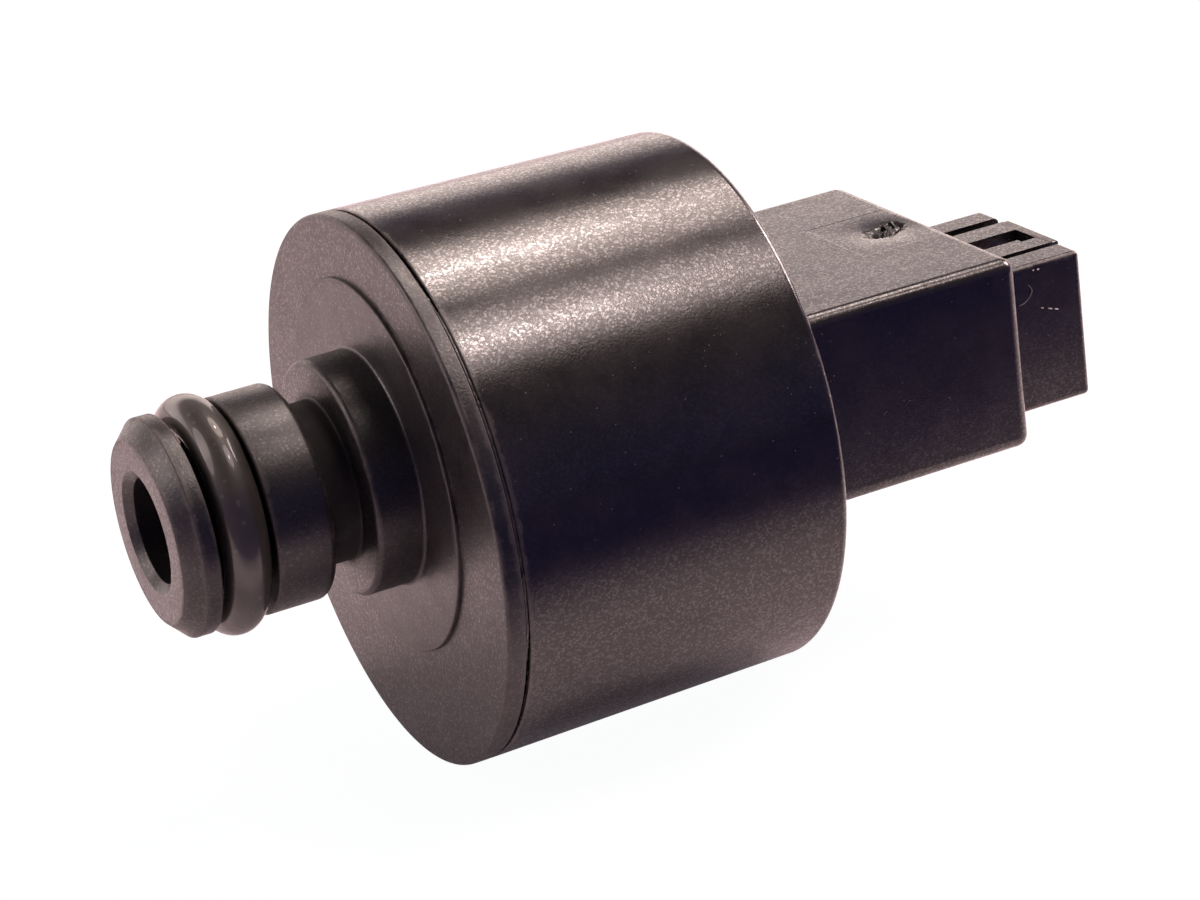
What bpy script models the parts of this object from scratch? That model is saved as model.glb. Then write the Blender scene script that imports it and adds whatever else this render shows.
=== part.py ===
# Plug-in water pressure sensor: a moulded spigot with a sealing ring, a round
# body with a spring-loaded diaphragm, and a square connector at the back.
# Metres, +Z up. X runs along the spigot from its nose (-X) to the connector (+X).
# The origin is on the spigot's axis, in the front face of its collar.
import bpy
import bmesh
from math import cos, pi, radians, sin

MM = 0.001

# Clearances
SEAT_GAP = 0.15 * MM        # between pieces that sit against each other
PRESS_GAP = 0.08 * MM       # round a piece pressed or screwed into its hole
SEAM_GAP = 0.20 * MM        # open line between the front moulding and the cup
SLIDE_GAP = 0.20 * MM       # round the plunger's stem where it is guided

# Facets round a circle
BODY_SEGMENTS = 88
PORT_SEGMENTS = 60
INNER_SEGMENTS = 36
SMALL_SEGMENTS = 24

# Spigot
BORE_RADIUS = 2.90 * MM
BORE_MOUTH_RADIUS = 3.15 * MM
BORE_MOUTH_DEPTH = 0.42 * MM
NOSE_FACE_RADIUS = 4.70 * MM
NOSE_CHAMFER_LENGTH = 0.88 * MM
NOSE_RADIUS = 5.60 * MM
NOSE_LAND_LENGTH = 0.85 * MM
GROOVE_WIDTH = 2.90 * MM
GROOVE_EDGE = 0.12 * MM
GROOVE_FLOOR_WALL = 0.75 * MM  # left between the sealing groove and the bore
SHANK_RADIUS = 5.57 * MM
SHANK_LENGTH = 3.15 * MM
SHANK_REAR_ROUND = 0.45 * MM
NECK_RADIUS = 4.15 * MM
CLIP_GROOVE_WIDTH = 1.90 * MM
COLLAR_RADIUS = 6.10 * MM
COLLAR_THICKNESS = 2.50 * MM
COLLAR_EDGE = 0.40 * MM

# Sealing ring
RING_WIRE_RADIUS = 1.17 * MM
RING_FLOOR_GAP = 0.10 * MM
RING_REAR_GAP = 0.14 * MM

# Round body
BODY_DROP = 1.50 * MM       # the body's axis lies this far under the spigot's
PAD_RADIUS = 9.70 * MM
PAD_HEIGHT = 0.20 * MM
BODY_RADIUS = 14.35 * MM
BODY_DRAFT = 0.26 * MM      # the cup is this much smaller at its back edge
RIM_WIDTH = 0.95 * MM
RIM_ROUND = 0.20 * MM
BODY_LENGTH = 18.90 * MM
BACK_ROUND = 0.45 * MM
CUP_WALL = 1.80 * MM
BACK_WALL = 1.80 * MM

# Pressure chamber in the front moulding
CHAMBER_FLOOR = 1.60 * MM
CHAMBER_RADIUS = 7.00 * MM
PLUG_LENGTH = 2.95 * MM
STOP_RIB_START = 3.30 * MM
STOP_RIB_LENGTH = 1.10 * MM
STOP_RIB_WIDTH = 1.00 * MM

# Diaphragm
SHEET = 0.50 * MM
BEAD_RADIUS = 8.60 * MM
BEAD_WIDTH = 1.20 * MM
BEAD_HEIGHT = 1.00 * MM
LOOP_RADIUS = 0.62 * MM     # of the rolling fold, at the middle of the sheet

# Plunger and what it carries
STROKE = 1.50 * MM          # of the plunger, from no pressure to the full reading
CLAMP_DISC_RADIUS = 4.50 * MM
CLAMP_DISC_THICKNESS = 0.80 * MM
HUB_RADIUS = 1.50 * MM
PUSH_NUT_RADIUS = 2.70 * MM
PUSH_NUT_THICKNESS = 0.40 * MM
HUB_STICK_OUT = 0.30 * MM
HEAD_RADIUS = 4.70 * MM
HEAD_THICKNESS = 1.10 * MM
STEM_RADIUS = 2.60 * MM
MAGNET_RADIUS = 1.60 * MM
MAGNET_LENGTH = 3.50 * MM

# Spring and its seat
SPRING_EDGE = 0.35 * MM     # of the plunger's head, beyond the spring
SPRING_WIRE_RADIUS = 0.60 * MM
SPRING_COIL_GAP = 0.90 * MM  # between the turns that work
WASHER_THICKNESS = 0.40 * MM
WASHER_EDGE = 0.90 * MM     # of the washer, beyond the spring
SCREW_LENGTH = 1.50 * MM
SCREW_SLOT_WIDTH = 1.20 * MM
SCREW_SLOT_DEPTH = 0.60 * MM
SCREW_RADIUS = 6.00 * MM
SCREW_RECESS = 0.10 * MM    # of the screw, inside the end of the guide frame's tube
FRAME_WALL = 1.30 * MM
FRAME_FLANGE = 1.20 * MM
FRAME_FLANGE_EDGE = 0.25 * MM   # play round the flange, inside the cup
FRAME_END_GAP = 0.30 * MM   # from the frame's tube to the floor of the cup
CUP_RIB_COUNT = 6
CUP_RIB_WIDTH = 1.20 * MM
CUP_RIB_HEIGHT = 1.30 * MM
CUP_RIB_END_GAP = 4.00 * MM  # from the ribs to the floor of the cup

# Connector block
BLOCK_WIDTH = 17.80 * MM
BLOCK_HEIGHT = 10.35 * MM
BLOCK_LENGTH = 13.80 * MM
BLOCK_BOTTOM = -5.79 * MM
BLOCK_ROUND = 0.45 * MM
BLOCK_SIDE_WALL = 1.50 * MM
BLOCK_FLOOR_WALL = 1.05 * MM
BLOCK_END_WALL = 1.60 * MM

# Connector shroud beyond the block
SHROUD_WIDTH = 9.70 * MM
SHROUD_HEIGHT = 8.11 * MM
SHROUD_LENGTH = 6.32 * MM
SHROUD_LIFT = 0.03 * MM     # of its underside over the block's
SHROUD_ROUND = 0.35 * MM
SHROUD_WALL = 1.10 * MM
LATCH_WIDTH = 4.84 * MM
LATCH_SLOT = 0.68 * MM
LATCH_DROP = 0.06 * MM
LATCH_BRIDGE = 0.35 * MM    # from the window to the end of the shroud's walls
BRIDGE_REACH = 0.25 * MM    # of the latch's end, beyond the shroud's walls
BRIDGE_RISE = 0.10 * MM
WINDOW_WIDTH = 1.56 * MM
WINDOW_INSET = 0.50 * MM    # from the block to the start of the window
WINDOW_NOTCH = 0.40 * MM    # cut into the latch on one side of the window
WINDOW_NOTCH_LENGTH = 0.90 * MM

# Terminals and electronics
PIN_COUNT = 3
PIN_PITCH = 2.50 * MM
PIN_SIZE = 0.64 * MM
PIN_RECESS = 1.30 * MM
PIN_BEND = 0.60 * MM
PIN_TAIL = 0.25 * MM
PIN_ROW_OFFSET = 2.60 * MM  # from the block's end wall to the pins' tails
BOARD_THICKNESS = 0.80 * MM
BOARD_SIDE_GAP = 1.15 * MM  # from the board's edges to the walls of the block
RAIL_HEIGHT = 0.35 * MM
RAIL_WIDTH = 2.00 * MM
BOARD_HOLE_GAP = 0.12 * MM
SENSOR_WIDTH = 4.10 * MM
SENSOR_HEIGHT = 3.00 * MM
SENSOR_THICKNESS = 1.50 * MM
SENSOR_LIFT = 0.30 * MM
SENSOR_AIR_GAP = 0.60 * MM  # to the stem at the end of its stroke
LEAD_PITCH = 1.27 * MM
LEAD_SIZE = 0.40 * MM
CHIP_LENGTH = 2.00 * MM
CHIP_WIDTH = 1.25 * MM

# Places along X, worked out from the sizes above
COLLAR_FRONT = 0.0
PAD_FACE = COLLAR_FRONT + COLLAR_THICKNESS
DISC_FACE = PAD_FACE + PAD_HEIGHT
SEAM = DISC_FACE + RIM_WIDTH
CHAMBER_FRONT = DISC_FACE + CHAMBER_FLOOR
PLUG_END = SEAM + PLUG_LENGTH
BACK_FACE = DISC_FACE + BODY_LENGTH
CUP_FLOOR = BACK_FACE - BACK_WALL
SHANK_REAR = COLLAR_FRONT - CLIP_GROOVE_WIDTH
GROOVE_REAR = SHANK_REAR - SHANK_LENGTH
GROOVE_FRONT = GROOVE_REAR - GROOVE_WIDTH
LAND_FRONT = GROOVE_FRONT - NOSE_LAND_LENGTH
NOSE_TIP = LAND_FRONT - NOSE_CHAMFER_LENGTH
SHEET_FRONT = PLUG_END + SEAT_GAP
SHEET_BACK = SHEET_FRONT + SHEET
FRAME_FRONT = SHEET_BACK + SEAT_GAP
HEAD_BACK = FRAME_FRONT + HEAD_THICKNESS
FRAME_BACK = CUP_FLOOR - FRAME_END_GAP
SCREW_BACK = FRAME_BACK - SCREW_RECESS
SCREW_FRONT = SCREW_BACK - SCREW_LENGTH
WASHER_BACK = SCREW_FRONT - SEAT_GAP
WASHER_FRONT = WASHER_BACK - WASHER_THICKNESS
SPRING_FRONT = HEAD_BACK + SEAT_GAP
SPRING_BACK = WASHER_FRONT - SEAT_GAP
SPRING_LENGTH = SPRING_BACK - SPRING_FRONT
SPRING_RADIUS = HEAD_RADIUS - SPRING_EDGE - SPRING_WIRE_RADIUS
WASHER_RADIUS = SPRING_RADIUS + SPRING_WIRE_RADIUS + WASHER_EDGE
STEM_END = SCREW_BACK - SEAT_GAP
BLOCK_END = BACK_FACE + BLOCK_LENGTH
SHROUD_END = BLOCK_END + SHROUD_LENGTH
BLOCK_TOP = BLOCK_BOTTOM + BLOCK_HEIGHT
SHROUD_BOTTOM = BLOCK_BOTTOM + SHROUD_LIFT
SHROUD_TOP = SHROUD_BOTTOM + SHROUD_HEIGHT
SHROUD_MIDDLE = 0.5 * (SHROUD_BOTTOM + SHROUD_TOP)
GROOVE_FLOOR_RADIUS = BORE_RADIUS + GROOVE_FLOOR_WALL
CUP_RADIUS = BODY_RADIUS - CUP_WALL
CAVITY_BOTTOM = BLOCK_BOTTOM + BLOCK_FLOOR_WALL
CAVITY_TOP = BLOCK_TOP - BLOCK_SIDE_WALL
CAVITY_HALF_WIDTH = 0.5 * BLOCK_WIDTH - BLOCK_SIDE_WALL
CAVITY_END = BLOCK_END - BLOCK_END_WALL
BOARD_HALF_WIDTH = CAVITY_HALF_WIDTH - BOARD_SIDE_GAP
BOARD_BOTTOM = CAVITY_BOTTOM + RAIL_HEIGHT + SEAT_GAP
BOARD_TOP = BOARD_BOTTOM + BOARD_THICKNESS
SENSOR_FRONT = STEM_END + STROKE + SENSOR_AIR_GAP
BOARD_FRONT = SENSOR_FRONT - SEAT_GAP
PIN_TAIL_X = CAVITY_END - PIN_ROW_OFFSET
FINE = 0.01 * MM            # by which a cutter runs past the face it opens


def clear_scene():
    for item in list(bpy.data.objects):
        bpy.data.objects.remove(item, do_unlink=True)


def finish(name, colour, roughness, metallic=0.0):
    surface = bpy.data.materials.new(name)
    surface.use_nodes = True
    shader = surface.node_tree.nodes["Principled BSDF"]
    shader.inputs["Base Color"].default_value = (*colour, 1.0)
    shader.inputs["Roughness"].default_value = roughness
    shader.inputs["Metallic"].default_value = metallic
    surface.diffuse_color = (*colour, 1.0)
    return surface


def place(name, form, surface, height=0.0, smooth=True):
    """Turn a bmesh into an object whose origin is at the given height."""
    bmesh.ops.recalc_face_normals(form, faces=form.faces[:])
    mesh = bpy.data.meshes.new(name)
    form.to_mesh(mesh)
    form.free()
    if smooth:
        mesh.shade_smooth()
        mesh.set_sharp_from_angle(angle=radians(35.0))
    if surface is not None:
        mesh.materials.append(surface)
    item = bpy.data.objects.new(name, mesh)
    item.location = (0.0, 0.0, height)
    bpy.context.scene.collection.objects.link(item)
    return item


def arc(centre_x, centre_radius, size, start, end, steps):
    """Points (x, radius) on an arc; 0 degrees points along +X, 90 outwards."""
    points = []
    for step in range(steps + 1):
        angle = radians(start + (end - start) * step / steps)
        points.append((centre_x + size * cos(angle), centre_radius + size * sin(angle)))
    return points


def turned(name, profile, segments, surface=None, height=0.0, ring=True):
    """Spin a section round the X axis; ring=False runs from pole to pole."""
    form = bmesh.new()
    points = [form.verts.new((x, 0.0, radius)) for x, radius in profile]
    ends = points[1:] + points[:1] if ring else points[1:]
    for first, second in zip(points, ends):
        form.edges.new((first, second))
    bmesh.ops.spin(form, geom=form.verts[:] + form.edges[:], cent=(0.0, 0.0, 0.0),
                   axis=(1.0, 0.0, 0.0), angle=2.0 * pi, steps=segments, use_merge=True)
    bmesh.ops.remove_doubles(form, verts=form.verts[:], dist=1.0e-7)
    return place(name, form, surface, height)


def block_form(low, high, radius=0.0, chosen=None, steps=3):
    """A box whose chosen edges are rounded."""
    form = bmesh.new()
    bmesh.ops.create_cube(form, size=1.0)
    for vert in form.verts:
        for axis in range(3):
            middle = 0.5 * (low[axis] + high[axis])
            vert.co[axis] = middle + vert.co[axis] * (high[axis] - low[axis])
    if radius > 0.0:
        edges = [edge for edge in form.edges if chosen is None or chosen(edge)]
        bmesh.ops.bevel(form, geom=edges, offset=radius, segments=steps, profile=0.5,
                        affect="EDGES", clamp_overlap=True)
    return form


def box(name, low, high, surface=None, radius=0.0, chosen=None, steps=3):
    return place(name, block_form(low, high, radius, chosen, steps), surface, smooth=radius > 0.0)


def as_tool(item):
    item.hide_render = True
    item.hide_viewport = False
    item.display_type = "WIRE"
    return item


def boolean(target, tool, operation):
    step = target.modifiers.new(operation.lower() + " " + tool.name, "BOOLEAN")
    step.operation = operation
    step.solver = "EXACT"
    step.object = as_tool(tool)


def cut(target, tool):
    boolean(target, tool, "DIFFERENCE")


def join(target, tool):
    boolean(target, tool, "UNION")


def spigot_profile():
    """Nose, sealing groove, shank, clip groove and collar, from pole to pole."""
    inside = 0.5 * (DISC_FACE + CHAMBER_FRONT)
    points = [
        (NOSE_TIP, 0.0),
        (NOSE_TIP, NOSE_FACE_RADIUS),
        (LAND_FRONT, NOSE_RADIUS),
        (GROOVE_FRONT - GROOVE_EDGE, NOSE_RADIUS),
        (GROOVE_FRONT, NOSE_RADIUS - GROOVE_EDGE),
        (GROOVE_FRONT, GROOVE_FLOOR_RADIUS),
        (GROOVE_REAR, GROOVE_FLOOR_RADIUS),
        (GROOVE_REAR, SHANK_RADIUS - GROOVE_EDGE),
        (GROOVE_REAR + GROOVE_EDGE, SHANK_RADIUS),
    ]
    points += arc(SHANK_REAR - SHANK_REAR_ROUND, SHANK_RADIUS - SHANK_REAR_ROUND,
                  SHANK_REAR_ROUND, 90.0, 0.0, 4)
    points += [(SHANK_REAR, NECK_RADIUS), (COLLAR_FRONT, NECK_RADIUS)]
    points += arc(COLLAR_FRONT + COLLAR_EDGE, COLLAR_RADIUS - COLLAR_EDGE,
                  COLLAR_EDGE, 180.0, 90.0, 3)
    points += [(PAD_FACE, COLLAR_RADIUS), (PAD_FACE, PAD_RADIUS), (inside, PAD_RADIUS),
               (inside, 0.0)]
    return points


def front_moulding_profile():
    """The disc with its rim, plug, diaphragm seat and pressure chamber."""
    plug = CUP_RADIUS - SEAM_GAP
    bead_in = BEAD_RADIUS - 0.5 * BEAD_WIDTH - SEAT_GAP
    bead_out = BEAD_RADIUS + 0.5 * BEAD_WIDTH + SEAT_GAP
    bead_front = PLUG_END - BEAD_HEIGHT - SEAT_GAP
    points = [(DISC_FACE, 0.0)]
    points += arc(DISC_FACE + RIM_ROUND, BODY_RADIUS - RIM_ROUND, RIM_ROUND, 180.0, 90.0, 3)
    points += [
        (SEAM, BODY_RADIUS),
        (SEAM, plug),
        (PLUG_END, plug),
        (PLUG_END, bead_out),
        (bead_front, bead_out),
        (bead_front, bead_in),
        (PLUG_END, bead_in),
        (PLUG_END, CHAMBER_RADIUS),
        (CHAMBER_FRONT, CHAMBER_RADIUS),
        (CHAMBER_FRONT, 0.0),
    ]
    return points


def make_front_housing(surface):
    housing = turned("front_housing", front_moulding_profile(), BODY_SEGMENTS, surface,
                     -BODY_DROP, ring=False)
    join(housing, turned("spigot_form", spigot_profile(), PORT_SEGMENTS, ring=False))
    rib_end = SHEET_FRONT - SEAT_GAP - CLAMP_DISC_THICKNESS - SEAT_GAP
    for index, angle in enumerate((0.0, 180.0, 270.0)):
        form = block_form((CHAMBER_FRONT - 0.5 * CHAMBER_FLOOR, STOP_RIB_START, -0.5 * STOP_RIB_WIDTH),
                          (rib_end, STOP_RIB_START + STOP_RIB_LENGTH, 0.5 * STOP_RIB_WIDTH))
        rib = place("stop_rib_form_" + str(index + 1), form, None, -BODY_DROP, smooth=False)
        rib.rotation_euler = (radians(angle), 0.0, 0.0)
        join(housing, rib)
    bore = [(NOSE_TIP - FINE, 0.0), (NOSE_TIP - FINE, BORE_MOUTH_RADIUS),
            (NOSE_TIP + BORE_MOUTH_DEPTH, BORE_RADIUS),
            (CHAMBER_FRONT + FINE, BORE_RADIUS), (CHAMBER_FRONT + FINE, 0.0)]
    cut(housing, turned("bore_tool", bore, PORT_SEGMENTS, ring=False))
    return housing


def make_sealing_ring(surface):
    centre = GROOVE_FLOOR_RADIUS + RING_FLOOR_GAP + RING_WIRE_RADIUS
    middle = GROOVE_REAR - RING_REAR_GAP - RING_WIRE_RADIUS
    section = arc(middle, centre, RING_WIRE_RADIUS, 0.0, 360.0, 16)[:-1]
    return turned("o_ring", section, PORT_SEGMENTS, surface)


def make_diaphragm(surface):
    """Bead, flat edge, one rolling fold towards the spring, and a flat middle."""
    middle = 0.5 * (SHEET_FRONT + SHEET_BACK)
    fold = 0.5 * (HEAD_RADIUS + CHAMBER_RADIUS)
    bead_in = BEAD_RADIUS - 0.5 * BEAD_WIDTH
    bead_out = BEAD_RADIUS + 0.5 * BEAD_WIDTH
    hole = HUB_RADIUS + PRESS_GAP
    outer = LOOP_RADIUS + 0.5 * SHEET
    inner = LOOP_RADIUS - 0.5 * SHEET
    points = [(SHEET_FRONT, hole), (SHEET_BACK, hole)]
    points += [(middle + outer * sin(angle), fold - outer * cos(angle))
               for angle in [pi * step / 7 for step in range(1, 7)]]
    points += [(SHEET_BACK, bead_out), (PLUG_END - BEAD_HEIGHT, bead_out),
               (PLUG_END - BEAD_HEIGHT, bead_in), (SHEET_FRONT, bead_in)]
    points += [(middle + inner * sin(angle), fold + inner * cos(angle))
               for angle in [pi * step / 5 for step in range(1, 5)]]
    return turned("diaphragm", points, INNER_SEGMENTS, surface, -BODY_DROP)


def make_clamp_disc(surface):
    back = SHEET_FRONT - SEAT_GAP
    front = back - CLAMP_DISC_THICKNESS
    hole = HUB_RADIUS + PRESS_GAP
    edge = 0.25 * CLAMP_DISC_THICKNESS
    section = [(front, hole), (front, CLAMP_DISC_RADIUS - edge),
               (front + edge, CLAMP_DISC_RADIUS), (back, CLAMP_DISC_RADIUS), (back, hole)]
    return turned("clamp_disc", section, INNER_SEGMENTS, surface, -BODY_DROP)


def push_nut_front():
    return SHEET_FRONT - 2.0 * SEAT_GAP - CLAMP_DISC_THICKNESS - PUSH_NUT_THICKNESS


def make_push_nut(surface):
    """A pressed steel nut whose slotted middle bites on the plunger's hub."""
    front = push_nut_front()
    back = front + PUSH_NUT_THICKNESS
    hole = HUB_RADIUS + PRESS_GAP
    section = [(front, hole), (front, PUSH_NUT_RADIUS), (back, PUSH_NUT_RADIUS), (back, hole)]
    nut = turned("push_nut", section, SMALL_SEGMENTS, surface, -BODY_DROP)
    reach = 0.5 * (hole + PUSH_NUT_RADIUS)
    slot = 0.15 * PUSH_NUT_RADIUS
    for index in range(2):
        form = block_form((front - SEAT_GAP, -reach, -0.5 * slot), (back + FINE, reach, 0.5 * slot))
        tool = place("push_nut_tool_" + str(index + 1), form, None, -BODY_DROP, smooth=False)
        tool.rotation_euler = (radians(45.0 + 90.0 * index), 0.0, 0.0)
        cut(nut, tool)
    return nut


def make_plunger(surface):
    """Hub, head and stem in one moulding, with the magnet's pocket in its end."""
    tip = push_nut_front() - HUB_STICK_OUT
    chamfer = 0.20 * HUB_RADIUS
    pocket = MAGNET_RADIUS + PRESS_GAP
    floor = STEM_END - MAGNET_LENGTH - 2.0 * SEAT_GAP
    points = [
        (tip, 0.0),
        (tip, HUB_RADIUS - chamfer),
        (tip + chamfer, HUB_RADIUS),
        (FRAME_FRONT, HUB_RADIUS),
        (FRAME_FRONT, HEAD_RADIUS),
        (HEAD_BACK, HEAD_RADIUS),
        (HEAD_BACK, STEM_RADIUS),
        (STEM_END, STEM_RADIUS),
        (STEM_END, pocket),
        (floor, pocket),
        (floor, 0.0),
    ]
    return turned("plunger", points, INNER_SEGMENTS, surface, -BODY_DROP, ring=False)


def make_magnet(surface):
    back = STEM_END - SEAT_GAP
    front = back - MAGNET_LENGTH
    edge = 0.10 * MAGNET_RADIUS
    points = [(front, 0.0), (front, MAGNET_RADIUS - edge), (front + edge, MAGNET_RADIUS),
              (back - edge, MAGNET_RADIUS), (back, MAGNET_RADIUS - edge), (back, 0.0)]
    return turned("magnet", points, SMALL_SEGMENTS, surface, -BODY_DROP, ring=False)


def make_spring(surface):
    """Round wire wound with closed ends: a section swept along its helix."""
    around = 8
    per_turn = 18
    closed_pitch = 2.0 * SPRING_WIRE_RADIUS + SEAT_GAP
    open_pitch = 2.0 * SPRING_WIRE_RADIUS + SPRING_COIL_GAP
    open_length = SPRING_LENGTH - 2.0 * SPRING_WIRE_RADIUS - 2.0 * closed_pitch
    turns = 2.0 + open_length / open_pitch
    count = int(round(turns * per_turn))
    form = bmesh.new()
    rings = []
    for step in range(count + 1):
        turn = turns * step / count
        ends = min(turn, 1.0) + max(turn - (turns - 1.0), 0.0)
        x = SPRING_FRONT + SPRING_WIRE_RADIUS + closed_pitch * ends + open_pitch * (turn - ends)
        angle = 2.0 * pi * turn
        ring = []
        for side in range(around):
            lean = 2.0 * pi * side / around
            radius = SPRING_RADIUS + SPRING_WIRE_RADIUS * cos(lean)
            ring.append(form.verts.new((x + SPRING_WIRE_RADIUS * sin(lean),
                                        radius * cos(angle), radius * sin(angle))))
        rings.append(ring)
    for first, second in zip(rings, rings[1:]):
        for side in range(around):
            after = (side + 1) % around
            form.faces.new((first[side], first[after], second[after], second[side]))
    form.faces.new(rings[0])
    form.faces.new(rings[-1])
    return place("main_spring", form, surface, -BODY_DROP)


def make_spring_washer(surface):
    hole = STEM_RADIUS + SLIDE_GAP
    section = [(WASHER_FRONT, hole), (WASHER_FRONT, WASHER_RADIUS),
               (WASHER_BACK, WASHER_RADIUS), (WASHER_BACK, hole)]
    return turned("spring_washer", section, INNER_SEGMENTS, surface, -BODY_DROP)


def make_adjusting_screw(surface):
    """The ring screw that sets the spring's load, slotted across its back."""
    hole = STEM_RADIUS + SLIDE_GAP
    edge = 0.15 * SCREW_LENGTH
    section = [(SCREW_FRONT, hole), (SCREW_FRONT, SCREW_RADIUS - edge), (SCREW_FRONT + edge, SCREW_RADIUS),
               (SCREW_BACK - edge, SCREW_RADIUS), (SCREW_BACK, SCREW_RADIUS - edge), (SCREW_BACK, hole)]
    screw = turned("adjusting_screw", section, INNER_SEGMENTS, surface, -BODY_DROP)
    reach = SCREW_RADIUS + FINE
    form = block_form((SCREW_BACK - SCREW_SLOT_DEPTH, -reach, -0.5 * SCREW_SLOT_WIDTH),
                      (SCREW_BACK + FINE, reach, 0.5 * SCREW_SLOT_WIDTH))
    cut(screw, place("screw_slot_tool", form, None, -BODY_DROP, smooth=False))
    return screw


def make_guide_frame(surface):
    """Flange that clamps the diaphragm's bead, and the tube that holds the screw."""
    bore = SCREW_RADIUS + PRESS_GAP
    tube = bore + FRAME_WALL
    wide = CHAMBER_RADIUS
    flange = CUP_RADIUS - FRAME_FLANGE_EDGE
    relief = FRAME_FRONT + LOOP_RADIUS + SHEET
    section = [
        (FRAME_FRONT, wide),
        (FRAME_FRONT, flange),
        (FRAME_FRONT + FRAME_FLANGE, flange),
        (FRAME_FRONT + FRAME_FLANGE, wide + FRAME_WALL),
        (relief + FRAME_WALL, wide + FRAME_WALL),
        (relief + FRAME_WALL + wide - bore, tube),
        (FRAME_BACK, tube),
        (FRAME_BACK, bore),
        (relief + wide - bore, bore),
        (relief, wide),
    ]
    return turned("guide_frame", section, INNER_SEGMENTS, surface, -BODY_DROP)


def cup_profile():
    """Outer wall with draft and a rounded back edge, floor, and straight inside."""
    front = SEAM + SEAM_GAP
    back_radius = BODY_RADIUS - BODY_DRAFT
    edge = 0.10 * MM
    points = [(front, CUP_RADIUS), (front, BODY_RADIUS - edge), (front + edge, BODY_RADIUS)]
    points += arc(BACK_FACE - BACK_ROUND, back_radius - BACK_ROUND, BACK_ROUND, 90.0, 0.0, 4)
    points += [(BACK_FACE, 0.0), (CUP_FLOOR, 0.0), (CUP_FLOOR, CUP_RADIUS)]
    return points


def make_cup(surface):
    form = bmesh.new()
    points = [form.verts.new((x, 0.0, radius)) for x, radius in cup_profile()]
    for first, second in zip(points, points[1:] + points[:1]):
        if first.co.z > 0.0 or second.co.z > 0.0:
            form.edges.new((first, second))
    bmesh.ops.spin(form, geom=form.verts[:] + form.edges[:], cent=(0.0, 0.0, 0.0),
                   axis=(1.0, 0.0, 0.0), angle=2.0 * pi, steps=BODY_SEGMENTS, use_merge=True)
    bmesh.ops.remove_doubles(form, verts=form.verts[:], dist=1.0e-7)
    return place("rear_housing", form, surface, -BODY_DROP)


def add_cup_ribs(housing):
    """Short ribs inside the cup that back the guide frame's flange."""
    front = FRAME_FRONT + FRAME_FLANGE + SEAT_GAP
    inner = CUP_RADIUS - CUP_RIB_HEIGHT
    for index in range(CUP_RIB_COUNT):
        form = block_form((front, inner, -0.5 * CUP_RIB_WIDTH),
                          (CUP_FLOOR - CUP_RIB_END_GAP, CUP_RADIUS + 0.5 * CUP_WALL, 0.5 * CUP_RIB_WIDTH))
        rib = place("cup_rib_form_" + str(index + 1), form, None, -BODY_DROP, smooth=False)
        rib.rotation_euler = (radians(360.0 * (index + 0.5) / CUP_RIB_COUNT), 0.0, 0.0)
        join(housing, rib)


def add_connector(housing):
    """The square block, its cavity and board rails, and the shroud beyond it."""
    half = 0.5 * BLOCK_WIDTH
    start = BACK_FACE - 0.5 * BACK_WALL
    join(housing, box("block_form", (start, -half, BLOCK_BOTTOM), (BLOCK_END, half, BLOCK_TOP),
                      radius=BLOCK_ROUND,
                      chosen=lambda edge: max(v.co.x for v in edge.verts) > start + FINE))
    reach = 0.5 * SHROUD_WIDTH
    root = BLOCK_END - 0.5 * BLOCK_END_WALL
    join(housing, box("shroud_form", (root, -reach, SHROUD_BOTTOM), (SHROUD_END, reach, SHROUD_TOP),
                      radius=SHROUD_ROUND,
                      chosen=lambda edge: max(v.co.x for v in edge.verts) > root + FINE))
    cut(housing, box("cavity_tool", (CUP_FLOOR - FINE, -CAVITY_HALF_WIDTH, CAVITY_BOTTOM),
                     (CAVITY_END, CAVITY_HALF_WIDTH, CAVITY_TOP)))
    for index, side in enumerate((-1.0, 1.0)):
        edges = sorted((side * (CAVITY_HALF_WIDTH + 0.5 * BLOCK_SIDE_WALL),
                        side * (CAVITY_HALF_WIDTH - RAIL_WIDTH)))
        join(housing, box("rail_form_" + str(index + 1),
                          (CUP_FLOOR + 0.5 * BACK_WALL, edges[0], CAVITY_BOTTOM - 0.5 * BLOCK_FLOOR_WALL),
                          (CAVITY_END + 0.5 * BLOCK_END_WALL, edges[1], CAVITY_BOTTOM + RAIL_HEIGHT)))


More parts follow.
